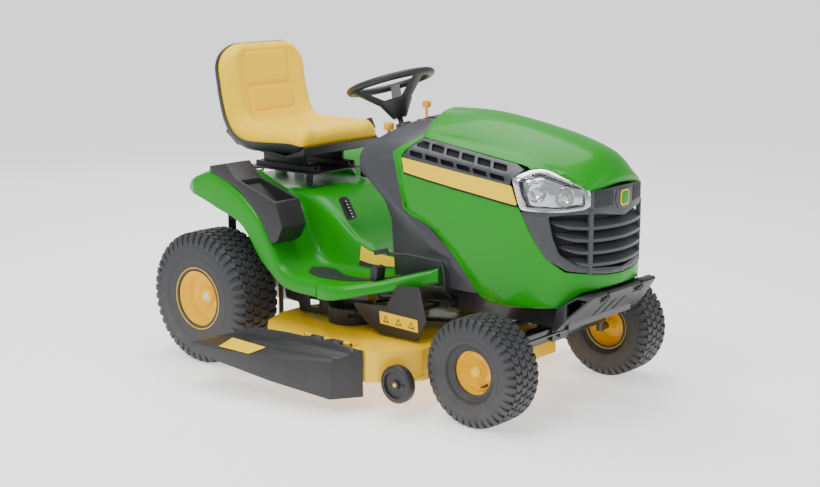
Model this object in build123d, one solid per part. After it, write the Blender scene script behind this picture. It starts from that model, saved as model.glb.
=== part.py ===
from build123d import *

import os
from math import cos, radians, sin, tan

# Riding lawn mower.  Millimetres.  The design frame has X forward from the rear axle, Y to the
# driver's left, Z up from the ground; export() moves everything to the middle of the footprint.

# ---- running gear ---------------------------------------------------------------------------
WHEELBASE = 1255.0
REAR_TRACK = 412.0          # rear wheel centre from the mid-plane
FRONT_TRACK = 397.0         # front wheel centre from the mid-plane
REAR_TYRE_R = 250.0
REAR_TYRE_W = 195.0
REAR_SEAT_R = 101.5         # bead seat of the rear rim
REAR_RIM_HALF = 91.0
FRONT_TYRE_R = 185.0
FRONT_TYRE_W = 149.0
FRONT_SEAT_R = 76.0
FRONT_RIM_HALF = 50.0
FLANGE_RISE = 15.0          # rim flange above its bead seat
TYRE_WALL = 10.0
AXLE_R = 12.7               # rear axle shaft
STUB_R = 9.5                # front stub axle and kingpin
KINGPIN_Y = 308.0
AXLE_BEAM_Z = 235.0
BEAM = 44.0                 # front axle beam height
BEAM_LONG = 50.0            # front axle beam fore and aft
STEER_ARM = 100.0           # kingpin to tie rod stud
DRAG_ARM = 80.0             # kingpin to drag link stud, and the pitman arm
STUD_R = 5.0
FIT = 0.05                  # radial running clearance
GAP = 0.3                   # gap between touching pieces of different bodies

# ---- chassis --------------------------------------------------------------------------------
RAIL_Y = 190.0              # outer face of each side rail
RAIL_Z0 = 310.0
RAIL_H = 75.0
RAIL_FLANGE = 35.0
RAIL_T = 4.0
FRAME_REAR = -160.0
FRAME_FRONT = 1452.0
PLATE_REAR = 690.0          # engine plate
HITCH_END = -262.0
HITCH_HOLE_R = 6.5
HITCH_T = 6.0
HITCH_BOLT_X = 80.0         # spacing of the hitch plate's face bolts
HITCH_BOLT_Z = 40.0
CRANK_X = 1080.0
CRANK_R = 12.65
TRACTION_BELT_Z = 356.0
MOWER_BELT_Z = 248.0
BELT_H = 10.0
BELT_T = 8.0
DRIVE_X = 70.0              # transaxle input shaft
DRIVE_PULLEY_R = 55.0
CRANK_UPPER_R = 45.0
CRANK_LOWER_R = 60.0

# ---- bodywork -------------------------------------------------------------------------------
PANEL = 4.0                 # panel thickness
HOOD_HALF = 262.0           # widest half-width of the hood
HOOD_PIVOT_X = 1535.0
HOOD_PIVOT_Z = 415.0
HOOD_NOSE = 1533.0
HOOD_TOP = 983.0
FENDER_HALF = 430.0
FOOTREST_HALF = 460.0
TUNNEL_HALF = 200.0
DASH_HALF = 205.0           # under the hood
CHEEK_HALF = 232.0          # behind the hood
BUMPER_TIP = 1548.0
BUMPER_HALF = 245.0

# ---- steering -------------------------------------------------------------------------------
WHEEL_X = 522.6             # steering wheel centre
WHEEL_Z = 1052.0
RIM_R = 153.0
GRIP_R = 13.5
TILT = 19.2                 # column lean from the vertical, degrees
SHAFT_R = 10.0
SECTOR_Z = 403.0            # mid-height of the sector plate
PINION_R = 21.0
SECTOR_OFFSET = 80.0        # pinion axis to sector pivot

# ---- mower deck -----------------------------------------------------------------------------
DECK_TOP = 210.0
DECK_BOTTOM = 100.0
DECK_T = 3.0
DECK_HALF = 535.0
DECK_NOSE = 1145.0
SPINDLE_Y = 262.0
SPINDLE_RIGHT_X = 555.0
SPINDLE_LEFT_X = 740.0
BLADE_R = 268.0
BLADE_Z = 121.0
SPINDLE_R = 12.65
DECK_PULLEY_R = 65.0
COVER_R = 82.0
COVER_TOP = 270.0
GAUGE_X = 994.0
GAUGE_Y = 516.0
GAUGE_Z = 114.0
GAUGE_R = 65.0
GAUGE_W = 36.0
GAUGE_BORE = 7.05
DEFLECTOR_OUT = 712.0
HINGE_Y = 541.0
HINGE_Z = 222.0
LIFT_X = 470.0
LIFT_Z = 328.0
LIFT_ARM = 82.0

# ---- seat -----------------------------------------------------------------------------------
SEAT_PIVOT_X = 250.0
SEAT_PIVOT_Z = 668.0
SEAT_HALF = 225.0
SEAT_BRACKET_Z = 700.0
SEAT_PAN_Z = 752.0

# ---- pedals ---------------------------------------------------------------------------------
PEDAL_X = 975.0
PEDAL_Z = 335.0
PEDAL_STUD_R = 8.0


# =============================================================================================
# helpers
# =============================================================================================
def box(x0, x1, y0, y1, z0, z1):
    centre = Pos((x0 + x1) / 2, (y0 + y1) / 2, (z0 + z1) / 2)
    return centre * Box(x1 - x0, y1 - y0, z1 - z0)


def rod(a, b, r):
    start = Vector(*a)
    end = Vector(*b)
    return Plane(origin=(start + end) / 2, z_dir=end - start) * Cylinder(r, (end - start).length)


def pipe(a, b, r_out, r_in):
    start = Vector(*a)
    end = Vector(*b)
    over = (end - start).normalized() * 1.0
    return rod(a, b, r_out) - rod(tuple(start - over), tuple(end + over), r_in)


def prism(points, direction, depth, radius):
    if radius:
        outline = FilletPolyline(*points, radius=radius, close=True)
    else:
        outline = Polyline(*points, close=True)
    return extrude(make_face(outline), amount=depth, dir=direction)


def side_prism(points, y0, y1, radius=0):
    """Outline in X, Z carried across from y0 to y1."""
    return prism([(x, y0, z) for x, z in points], (0, 1, 0), y1 - y0, radius)


def plan_prism(points, z0, z1, radius=0):
    """Outline in X, Y raised from z0 to z1."""
    return prism([(x, y, z0) for x, y in points], (0, 0, 1), z1 - z0, radius)


def front_prism(points, x0, x1, radius=0):
    """Outline in Y, Z carried forward from x0 to x1."""
    return prism([(x0, y, z) for y, z in points], (1, 0, 0), x1 - x0, radius)


def mirrored(half):
    """Full outline from its left half; points on the mid-plane are used once."""
    return half + [(x, -y) for x, y in reversed(half) if y]


def turned(points):
    """Outline in radius, axial place turned about the Y axis."""
    return revolve(make_face(Polyline(*[(r, y, 0) for r, y in points], close=True)), axis=Axis.Y)


def tube(points, r, radius):
    path = FilletPolyline(*points, radius=radius)
    return sweep(Plane(origin=path @ 0, z_dir=path % 0) * Circle(r), path=path)


def flip(shape):
    """The other side's copy."""
    return mirror(shape, about=Plane.XZ)


def group(*shapes):
    """Separate solids kept in one node."""
    solids = []
    for shape in shapes:
        solids.extend(shape.solids())
    return Compound(solids)


# =============================================================================================
# wheels
# =============================================================================================
def tyre(seat, half, outer, width):
    flange = seat + FLANGE_RISE
    side = width / 2
    top = outer - TYRE_WALL
    wall = side - TYRE_WALL
    lip = half - TYRE_WALL - 4
    return turned([
        (seat, half), (flange + 3, half), (flange + 20, side), (outer - 30, side),
        (outer - 10, side - 12), (outer, side - 34), (outer, 34 - side), (outer - 10, 12 - side),
        (outer - 30, -side), (flange + 20, -side), (flange + 3, -half), (seat, -half),
        (seat, -lip), (flange + 6, -lip), (flange + 20, -wall), (top - 24, -wall),
        (top, 38 - side), (top, side - 38), (top - 24, wall), (flange + 20, wall),
        (flange + 6, lip), (seat, lip),
    ])


def rim_barrel(seat, half, well):
    """Pressed barrel: flanges, bead seats and a drop centre of the given depth."""
    flange = seat + FLANGE_RISE
    skin = 3.0
    return turned([
        (flange, half + 4), (flange, half + GAP), (seat - FIT, half + GAP), (seat - FIT, half - 20),
        (seat - well, half - 34), (seat - well, 34 - half), (seat - FIT, 20 - half),
        (seat - FIT, -half - GAP), (flange, -half - GAP), (flange, -half - 4),
        (seat - skin, -half - 4), (seat - skin, 22 - half), (seat - well - skin, 36 - half),
        (seat - well - skin, half - 36), (seat - skin, half - 22), (seat - skin, half + 4),
    ])


def rim_disc(edge, face, hub, bore, tail):
    """Dished disc from the barrel to the hub; the hub tube runs inboard to tail."""
    return turned([
        (edge, face + 2), (edge, face - 2), (edge * 0.72, face - 16), (hub + 6, face - 16),
        (hub + 4, tail), (bore, tail), (bore, face + 10), (hub, face + 10), (hub + 6, face - 12),
        (edge * 0.7, face - 12),
    ])


def place_wheel(shape, x, track, z, side):
    shape = shape if side > 0 else flip(shape)
    return Pos(x, side * track, z) * shape


def rear_tyre(side):
    shape = tyre(REAR_SEAT_R, REAR_RIM_HALF, REAR_TYRE_R, REAR_TYRE_W)
    return place_wheel(shape, 0, REAR_TRACK, REAR_TYRE_R, side)


def rear_rim(side):
    well = 12.0
    inner = REAR_SEAT_R - well - 2.0
    shape = rim_barrel(REAR_SEAT_R, REAR_RIM_HALF, well)
    shape += rim_disc(inner, 38.0, 28.0, AXLE_R + FIT, -40.0)
    shaft = rod((0, 50 - REAR_TRACK, 0), (0, 54, 0), AXLE_R)
    cap = pipe((0, 49, 0), (0, 53, 0), 24.0, AXLE_R + FIT)
    return place_wheel(group(shape, shaft, cap), 0, REAR_TRACK, REAR_TYRE_R, side)


def front_tyre(side):
    shape = tyre(FRONT_SEAT_R, FRONT_RIM_HALF, FRONT_TYRE_R, FRONT_TYRE_W)
    return place_wheel(shape, WHEELBASE, FRONT_TRACK, FRONT_TYRE_R, side)


def front_rim(side):
    well = 10.0
    inner = FRONT_SEAT_R - well - 2.0
    shape = rim_barrel(FRONT_SEAT_R, FRONT_RIM_HALF, well)
    shape += rim_disc(inner, 12.0, 20.0, STUB_R + FIT, -34.0)
    cap = turned([(0, 40.5), (0, 34), (16, 34), (16, 22.3), (20, 22.3), (20, 34), (14, 40.5)])
    return place_wheel(group(shape, cap), WHEELBASE, FRONT_TRACK, FRONT_TYRE_R, side)


# =============================================================================================
# front axle and steering
# =============================================================================================
BOSS_Z0 = AXLE_BEAM_Z - 28.0
BOSS_Z1 = AXLE_BEAM_Z + 22.0
ARM_Z = BOSS_Z1 + 0.5
ARM_T = 6.0
LINK_Z = ARM_Z + ARM_T + 21.0
PIVOT_R = 9.5


def front_axle():
    x0 = WHEELBASE - BEAM_LONG / 2
    x1 = WHEELBASE + BEAM_LONG / 2
    z0 = AXLE_BEAM_Z - BEAM / 2
    z1 = AXLE_BEAM_Z + BEAM / 2 - 0.5
    end = KINGPIN_Y - 6
    beam = box(x0, x1, -end, end, z0, z1)
    beam -= box(x0 + 4, x1 - 4, 20 - end, end - 20, z0 + 4, z1 - 4)
    beam += rod((x0 + 1, 0, AXLE_BEAM_Z), (x1 - 1, 0, AXLE_BEAM_Z), 16.0)
    for side in (-1, 1):
        y = side * KINGPIN_Y
        beam += rod((WHEELBASE, y, BOSS_Z0), (WHEELBASE, y, BOSS_Z1), 20.0)
        beam -= rod((WHEELBASE, y, BOSS_Z0 - 1), (WHEELBASE, y, BOSS_Z1 + 1), STUB_R + FIT)
    return beam - rod((x0 - 1, 0, AXLE_BEAM_Z), (x1 + 1, 0, AXLE_BEAM_Z), PIVOT_R + FIT)


def arm_plate(x, y, dx, dy, z):
    """Flat link plate from a pivot at x, y to a stud dx, dy away."""
    across = Vector(-dy, dx, 0).normalized() * 9.0
    near = Vector(x, y, 0)
    far = Vector(x + dx, y + dy, 0)
    corners = [near - across, far - across, far + across, near + across]
    plate = plan_prism([(c.X, c.Y) for c in corners], z, z + ARM_T)
    plate += rod((x, y, z), (x, y, z + ARM_T), 16.0)
    return plate + rod((x + dx, y + dy, z), (x + dx, y + dy, z + ARM_T), 9.0)


def spindle(side):
    y = side * KINGPIN_Y
    low = FRONT_TYRE_R
    part = rod((WHEELBASE, y, low), (WHEELBASE, y, ARM_Z + ARM_T), STUB_R)
    part += rod((WHEELBASE, y, low - STUB_R), (WHEELBASE, y, BOSS_Z0 - 0.5), 14.0)
    part += rod((WHEELBASE, y, low), (WHEELBASE, side * (FRONT_TRACK + 20), low), STUB_R)
    part += rod((WHEELBASE, y, low), (WHEELBASE, side * (FRONT_TRACK - 35), low), 13.0)
    part += arm_plate(WHEELBASE, y, STEER_ARM, 0, ARM_Z)
    stud_x = WHEELBASE + STEER_ARM
    part += rod((stud_x, y, ARM_Z), (stud_x, y, ARM_Z + ARM_T + 14), STUD_R)
    if side > 0:
        part += arm_plate(WHEELBASE, y, 0, -DRAG_ARM, ARM_Z)
        part += rod((WHEELBASE, y - DRAG_ARM, ARM_Z), (WHEELBASE, y - DRAG_ARM, LINK_Z + 12), STUD_R)
    return part


def tie_rod():
    x = WHEELBASE + STEER_ARM
    z = ARM_Z + ARM_T + 7.0
    bar = rod((x, -KINGPIN_Y, z), (x, KINGPIN_Y, z), 5.0)
    for side in (-1, 1):
        y = side * KINGPIN_Y
        hole = STUD_R + (FIT if side > 0 else 0.6)
        bar += rod((x, y, z - 6), (x, y, z + 6), 9.0)
        bar -= rod((x, y, z - 8), (x, y, z + 8), hole)
    return bar


def column_point(z):
    """Point of the steering column's axis at the given height."""
    return (WHEEL_X + (WHEEL_Z - z) * tan(radians(TILT)), 0, z)


PINION_X = column_point(SECTOR_Z)[0]
SECTOR_X = PINION_X + SECTOR_OFFSET


def steering_wheel():
    frame = Plane(origin=(WHEEL_X, 0, WHEEL_Z), x_dir=(0, 1, 0),
                  z_dir=(-sin(radians(TILT)), 0, cos(radians(TILT))))
    ring = Torus(RIM_R, GRIP_R)
    hub_drop = 86.0
    hub = Pos(0, 0, -hub_drop - 19) * Cone(26.0, 62.0, 60.0) + Pos(0, 0, -70) * Cylinder(62.0, 10.0)
    hub -= Pos(0, 0, -hub_drop) * Cylinder(SHAFT_R, 120.0)
    wheel = ring
    for turn in (-90, 35, 145):
        reach = RIM_R - GRIP_R + 4
        spoke = make_face(Polyline((40, 0, -66), (60, 0, -76), (reach + 6, 0, -6), (reach, 0, 6), close=True))
        wheel += Rot(0, 0, turn) * extrude(spoke, amount=17, both=True)
    wheel += hub
    wheel -= Pos(0, 0, -hub_drop) * Cylinder(SHAFT_R + FIT, 160.0)
    shaft_low = column_point(380.0)
    shaft_top = column_point(WHEEL_Z - 62.0)
    shaft = rod(shaft_low, shaft_top, SHAFT_R)
    pinion = rod(column_point(SECTOR_Z - 6), column_point(SECTOR_Z + 6), PINION_R)
    for tooth in range(10):
        notch = Rot(0, 0, 36 * tooth) * (Pos(PINION_R, 0, 0) * Cylinder(2.6, 30))
        axis = Plane(origin=column_point(SECTOR_Z), z_dir=frame.z_dir)
        pinion -= axis * notch
    return group(frame * wheel, shaft + pinion)


def sector_gear():
    z0 = SECTOR_Z - 3
    z1 = SECTOR_Z + 3
    slot_in = SECTOR_OFFSET - PINION_R - 5.0
    slot_out = SECTOR_OFFSET + PINION_R + 4.0
    rim = slot_out + 16.0
    plate = rod((0, 0, z0), (0, 0, z1), rim)
    far = 200.0
    wedge = 62.0
    keep = plan_prism([(20, 0), (-far * cos(radians(wedge)), far * sin(radians(wedge))), (-far, 0),
                       (-far * cos(radians(wedge)), -far * sin(radians(wedge)))], z0 - 1, z1 + 1)
    plate = plate & keep
    window = rod((0, 0, z0 - 1), (0, 0, z1 + 1), slot_out) - rod((0, 0, z0 - 2), (0, 0, z1 + 2), slot_in)
    arc = 54.0
    window = window & plan_prism([(0, 0), (-far * cos(radians(arc)), far * sin(radians(arc))), (-far, 0),
                                  (-far * cos(radians(arc)), -far * sin(radians(arc)))], z0 - 1, z1 + 1)
    plate -= window
    for step in range(-7, 8):
        a = radians(7 * step)
        at = (-(slot_out + 0.5) * cos(a), (slot_out + 0.5) * sin(a))
        plate -= rod((at[0], at[1], z0 - 1), (at[0], at[1], z1 + 1), 3.0)
    plate += rod((0, 0, z0), (0, 0, z1), 24.0)
    plate += rod((0, 0, LINK_Z - 12), (0, 0, z1), SHAFT_R)
    plate = Pos(SECTOR_X, 0, 0) * plate
    plate += arm_plate(SECTOR_X, 0, 0, -DRAG_ARM, LINK_Z - 12)
    y = -DRAG_ARM
    return plate + rod((SECTOR_X, y, LINK_Z - 10), (SECTOR_X, y, LINK_Z + 7), STUD_R)


def drag_link():
    rear = (SECTOR_X, -DRAG_ARM, LINK_Z)
    front = (WHEELBASE, KINGPIN_Y - DRAG_ARM, LINK_Z)
    bar = rod(rear, front, 4.4)
    loose = STUD_R + 4.5
    for end, hole in ((rear, STUD_R + FIT), (front, loose)):
        low = (end[0], end[1], LINK_Z - 5)
        high = (end[0], end[1], LINK_Z + 5)
        bar += rod(low, high, hole + 5)
        bar -= rod((end[0], end[1], LINK_Z - 7), (end[0], end[1], LINK_Z + 7), hole)
    return bar


# =============================================================================================
# chassis
# =============================================================================================
def rail():
    """Left side rail: a channel open to the inside."""
    z1 = RAIL_Z0 + RAIL_H
    bar = box(FRAME_REAR, FRAME_FRONT, RAIL_Y - RAIL_FLANGE, RAIL_Y, RAIL_Z0, z1)
    return bar - box(FRAME_REAR - 1, FRAME_FRONT + 1, RAIL_Y - RAIL_FLANGE - 1, RAIL_Y - RAIL_T,
                     RAIL_Z0 + RAIL_T, z1 - RAIL_T)


def axle_strap():
    """Left plate that hangs from the rail and holds the rear axle tube."""
    y0 = RAIL_Y
    y1 = y0 + 6
    plate = side_prism([(-70, RAIL_Z0 - 95), (70, RAIL_Z0 - 95), (110, RAIL_Z0 + RAIL_H),
                        (-110, RAIL_Z0 + RAIL_H)], y0, y1)
    return plate - rod((0, y0 - 1, REAR_TYRE_R), (0, y1 + 1, REAR_TYRE_R), 28.0 + GAP)


def side_plate():
    """Left upright plate between the fender and the deck, with its window."""
    y0 = RAIL_Y
    plate = side_prism([(118, 128), (262, 128), (262, 236), (425, 236), (440, 360), (118, 360)], y0, y0 + 5)
    plate -= side_prism([(140, 150), (238, 150), (238, 290), (140, 290)], y0 - 1, y0 + 6, radius=12)
    return plate - side_prism([(285, 258), (395, 258), (402, 305), (285, 305)], y0 - 1, y0 + 6, radius=8)


def frame():
    z1 = RAIL_Z0 + RAIL_H
    side = rail() + axle_strap() + side_plate()
    side -= rod((LIFT_X, RAIL_Y - 50, LIFT_Z), (LIFT_X, RAIL_Y + 9, LIFT_Z), 8.0 + FIT)
    side += rod((PEDAL_X, RAIL_Y - 1, PEDAL_Z), (PEDAL_X, RAIL_Y + 78, PEDAL_Z), PEDAL_STUD_R)
    side += box(FRAME_REAR, FRAME_REAR + 4, 150, RAIL_Y, RAIL_Z0, 646 - GAP)
    body = side + flip(side)
    body += box(FRAME_REAR - 4, FRAME_REAR, -RAIL_Y, RAIL_Y, RAIL_Z0, z1)
    body += box(600, 640, -RAIL_Y + RAIL_T, RAIL_Y - RAIL_T, RAIL_Z0, RAIL_Z0 + 6)
    body += box(PLATE_REAR, FRAME_FRONT, -RAIL_Y, RAIL_Y, z1, z1 + 4)
    body += box(FRAME_FRONT - 4, FRAME_FRONT, -RAIL_Y, RAIL_Y, RAIL_Z0, z1)
    near = BEAM_LONG / 2 + 4
    for x in (WHEELBASE - near - 6, WHEELBASE + near):
        body += box(x, x + 6, -RAIL_Y + 1, RAIL_Y - 1, RAIL_Z0 - 8, z1)
        body += box(x, x + 6, -45, 45, AXLE_BEAM_Z - 24, RAIL_Z0)
    pivot_ends = (WHEELBASE - near - 8, WHEELBASE + near + 8)
    body -= rod((pivot_ends[0], 0, AXLE_BEAM_Z), (pivot_ends[1], 0, AXLE_BEAM_Z), PIVOT_R + FIT)
    body -= rod((CRANK_X, 0, z1 - 5), (CRANK_X, 0, z1 + 9), 40.0)
    body += rod((SECTOR_X, 0, z1 + 1), (SECTOR_X, 0, SECTOR_Z - 3.5), 22.0)
    body -= rod((SECTOR_X, 0, z1 - 5), (SECTOR_X, 0, SECTOR_Z), SHAFT_R + FIT)
    body -= rod(column_point(z1 - 12), column_point(z1 + 12), SHAFT_R + FIT)
    for y in (-HITCH_BOLT_X / 2, HITCH_BOLT_X / 2):
        for z in hitch_bolt_heights():
            body -= rod((FRAME_REAR - 9, y, z), (FRAME_REAR + 9, y, z), 5.5)
    bolt = rod((pivot_ends[0], 0, AXLE_BEAM_Z), (pivot_ends[1] - 2 + 8, 0, AXLE_BEAM_Z), PIVOT_R)
    head = rod((pivot_ends[1] - 2, 0, AXLE_BEAM_Z), (pivot_ends[1] + 8, 0, AXLE_BEAM_Z), 15.0)
    return group(body, bolt + head)


def hitch_bolt_heights():
    middle = RAIL_Z0 + RAIL_H / 2
    return (middle - HITCH_BOLT_Z / 2, middle + HITCH_BOLT_Z / 2)


def hitch_plate():
    """Bent drawbar plate: a face against the frame's end and a tongue with the pin hole."""
    face = FRAME_REAR - 4
    z1 = RAIL_Z0 + RAIL_H
    plate = box(face - HITCH_T, face, -95, 95, RAIL_Z0 - 10, z1)
    plate += box(HITCH_END, face, -95, 95, RAIL_Z0 - 10 - HITCH_T, RAIL_Z0 - 10)
    plate -= plan_prism([(HITCH_END - 1, 40), (HITCH_END - 1, 96), (face - HITCH_T - 10, 96)], 280, 310)
    plate -= plan_prism([(HITCH_END - 1, -40), (HITCH_END - 1, -96), (face - HITCH_T - 10, -96)], 280, 310)
    pin_x = HITCH_END + 26
    plate -= rod((pin_x, 0, 280), (pin_x, 0, 310), HITCH_HOLE_R)
    bolts = []
    for y in (-HITCH_BOLT_X / 2, HITCH_BOLT_X / 2):
        for z in hitch_bolt_heights():
            plate -= rod((face - 20, y, z), (face + 1, y, z), 5.5)
            shank = rod((face - HITCH_T, y, z), (face + 6, y, z), 5.0)
            head = Plane(origin=(face - HITCH_T, y, z), z_dir=(-1, 0, 0)) * extrude(RegularPolygon(9, 6), 6)
            bolts.append(shank + head)
    return group(plate, *bolts)


def transaxle_case():
    z = REAR_TYRE_R
    outer = fillet(box(-95, 150, -95, 95, 180, 322).edges().filter_by(Axis.Y), 18)
    case = outer - box(-87, 142, -87, 87, 188, 314)
    case += rod((0, -RAIL_Y - 40, z), (0, RAIL_Y + 40, z), 28.0)
    case -= box(-87, 142, -87, 87, 188, 314)
    case -= rod((0, -RAIL_Y - 60, z), (0, RAIL_Y + 60, z), AXLE_R + FIT)
    case += pipe((DRIVE_X, 0, 313), (DRIVE_X, 0, 340), 18.0, 8.0 + FIT)
    return case - rod((DRIVE_X, 0, 300), (DRIVE_X, 0, 345), 8.0 + FIT)


def transaxle_pulley():
    z0 = TRACTION_BELT_Z - BELT_H / 2 - 1
    z1 = TRACTION_BELT_Z + BELT_H / 2 + 1
    pulley = rod((DRIVE_X, 0, z0), (DRIVE_X, 0, z1), DRIVE_PULLEY_R)
    fan = rod((DRIVE_X, 0, z1), (DRIVE_X, 0, z1 + 5), 40.0)
    for turn in range(0, 360, 45):
        blade = Rot(0, 0, turn) * box(14, 74, -2, 2, z1 + 3, z1 + 16)
        fan += Pos(DRIVE_X, 0, 0) * blade
    shaft = rod((DRIVE_X, 0, 290), (DRIVE_X, 0, z1), 8.0)
    return pulley + fan + shaft


def belt(pulleys, z):
    """Flat loop round pulleys given as x, y, radius, kept a hair off each of them."""
    faces = []
    for extra in (BELT_T + GAP, GAP):
        rings = [Pos(x, y, z - BELT_H / 2) * Edge.make_circle(r + extra) for x, y, r in pulleys]
        faces.append(make_hull(rings))
    outer = extrude(faces[0], amount=BELT_H, dir=(0, 0, 1))
    inner = extrude(faces[1], amount=BELT_H, dir=(0, 0, 1))
    return outer - inner


def traction_belt():
    return belt([(DRIVE_X, 0, DRIVE_PULLEY_R), (CRANK_X, 0, CRANK_UPPER_R)], TRACTION_BELT_Z)


def deck_pulleys():
    return [(SPINDLE_RIGHT_X, -SPINDLE_Y, DECK_PULLEY_R), (SPINDLE_LEFT_X, SPINDLE_Y, DECK_PULLEY_R),
            (CRANK_X, 0, CRANK_LOWER_R)]


def mower_belt():
    return belt(deck_pulleys(), MOWER_BELT_Z)


def crank_pulleys():
    half = BELT_H / 2 + 1
    upper = rod((CRANK_X, 0, TRACTION_BELT_Z - half), (CRANK_X, 0, TRACTION_BELT_Z + half), CRANK_UPPER_R)
    lower = rod((CRANK_X, 0, MOWER_BELT_Z - half), (CRANK_X, 0, MOWER_BELT_Z + half), CRANK_LOWER_R)
    shaft = rod((CRANK_X, 0, MOWER_BELT_Z - 20), (CRANK_X, 0, ENGINE_Z + 60), CRANK_R)
    clutch = rod((CRANK_X, 0, MOWER_BELT_Z + half), (CRANK_X, 0, MOWER_BELT_Z + 36), 48.0)
    return upper + lower + shaft + clutch


# =============================================================================================
# engine and what it needs
# =============================================================================================
ENGINE_Z = RAIL_Z0 + RAIL_H + 4


def engine_block():
    x = CRANK_X
    sump = fillet(box(x - 125, x + 115, -130, 130, ENGINE_Z, ENGINE_Z + 110).edges().filter_by(Axis.Z), 30)
    barrel = box(x - 75, x + 75, -105, 95, ENGINE_Z + 110, ENGINE_Z + 230)
    head = box(x + 40, x + 165, -60, 60, ENGINE_Z + 112, ENGINE_Z + 215)
    for level in range(7):
        z = ENGINE_Z + 120 + 13 * level
        head -= box(x + 118, x + 170, -61, -28, z, z + 6)
        head -= box(x + 118, x + 170, 28, 61, z, z + 6)
    block = sump + barrel + head
    block -= box(x - 105, x + 35, -90, 80, ENGINE_Z + 10, ENGINE_Z + 220)
    return block - rod((x, 0, ENGINE_Z - 1), (x, 0, ENGINE_Z + 11), CRANK_R + FIT)


def blower_housing():
    z0 = ENGINE_Z + 230
    shell = rod((CRANK_X, 0, z0), (CRANK_X, 0, z0 + 95), 140.0)
    shell = fillet(shell.edges().sort_by(Axis.Z)[-1], 24)
    shell -= rod((CRANK_X, 0, z0 + 4), (CRANK_X, 0, z0 + 70), 134.0)
    return shell - rod((CRANK_X, 0, z0 + 60), (CRANK_X, 0, z0 + 100), 70.0)


def muffler():
    z = ENGINE_Z + 62
    can = rod((CRANK_X + 215, -120, z), (CRANK_X + 215, 60, z), 46.0)
    can += box(CRANK_X + 200, CRANK_X + 230, -60, 0, ENGINE_Z, z)
    outlet = rod((CRANK_X + 215, -118, z), (CRANK_X + 215, -165, z), 14.0)
    can += outlet
    can -= rod((CRANK_X + 215, -140, z), (CRANK_X + 215, -170, z), 11.0)
    return can


def air_cleaner():
    z0 = ENGINE_Z + 120
    case = fillet(box(CRANK_X - 75, CRANK_X + 60, 95 + GAP, 180, z0, z0 + 90).edges().filter_by(Axis.Y), 20)
    return case - box(CRANK_X - 70, CRANK_X + 55, 110, 175, z0 + 5, z0 + 85)


def battery():
    case = box(20, 205, -186, -25, RAIL_Z0 + RAIL_H, RAIL_Z0 + RAIL_H + 150)
    for x in (50, 175):
        case += rod((x, -60, RAIL_Z0 + RAIL_H + 149), (x, -60, RAIL_Z0 + RAIL_H + 166), 8.0)
    return case


TANK_X = -108.0
TANK_Y = 58.0
NECK_Z = 664.0


def fuel_tank():
    z0 = RAIL_Z0 + RAIL_H
    tank = fillet(box(-150, 0, 20, 186, z0, z0 + 180).edges().filter_by(Axis.Z), 20)
    tank -= box(-146, -4, 24, 182, z0 + 4, z0 + 176)
    return tank + pipe((TANK_X, TANK_Y, z0 + 175), (TANK_X, TANK_Y, NECK_Z + 6), 24.0, 20.0)


def fuel_cap():
    cap = rod((TANK_X, TANK_Y, NECK_Z + 6 + GAP), (TANK_X, TANK_Y, NECK_Z + 26), 32.0)
    for turn in range(0, 360, 30):
        a = radians(turn)
        at = (TANK_X + 32 * cos(a), TANK_Y + 32 * sin(a))
        cap -= rod((at[0], at[1], NECK_Z), (at[0], at[1], NECK_Z + 30), 3.0)
    return cap


# =============================================================================================
# bodywork
# =============================================================================================
def fender_top(drop):
    """Top line of the fenders and footrests, rear to front, lowered by drop."""
    points = [(-165, 668), (-97, 690), (-43, 712), (-9, 726), (150, 668), (254, 584), (314, 484),
              (359, 411), (435, 388), (644, 385), (760, 400), (954, 462)]
    return [(x, z - drop) for x, z in points]


def tunnel_top(drop):
    """Top line of the centre tunnel under the seat and between the feet."""
    points = [(-165, 650), (262, 650), (330, 628), (440, 566), (520, 508), (600, 472), (700, 466)]
    return [(x, z - drop) for x, z in points]


def fender_plan(inset):
    front = 954 - inset
    outer = [(-165, 380), (-97, FENDER_HALF), (500, FENDER_HALF), (600, FOOTREST_HALF),
             (690, FOOTREST_HALF - 8), (954, 255)]
    half = [(x, y - inset) for x, y in outer]
    half[0] = (-165 + inset, 380 - inset)
    half[-1] = (front, 255 - inset)
    return mirrored([(-165 + inset, 0)] + half + [(front, 0)])


SKIRT = [(954, 407), (613, 329), (434, 325), (357, 342), (311, 381), (234, 456), (157, 546),
         (36, 587), (-97, 627), (-165, 640)]


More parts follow.
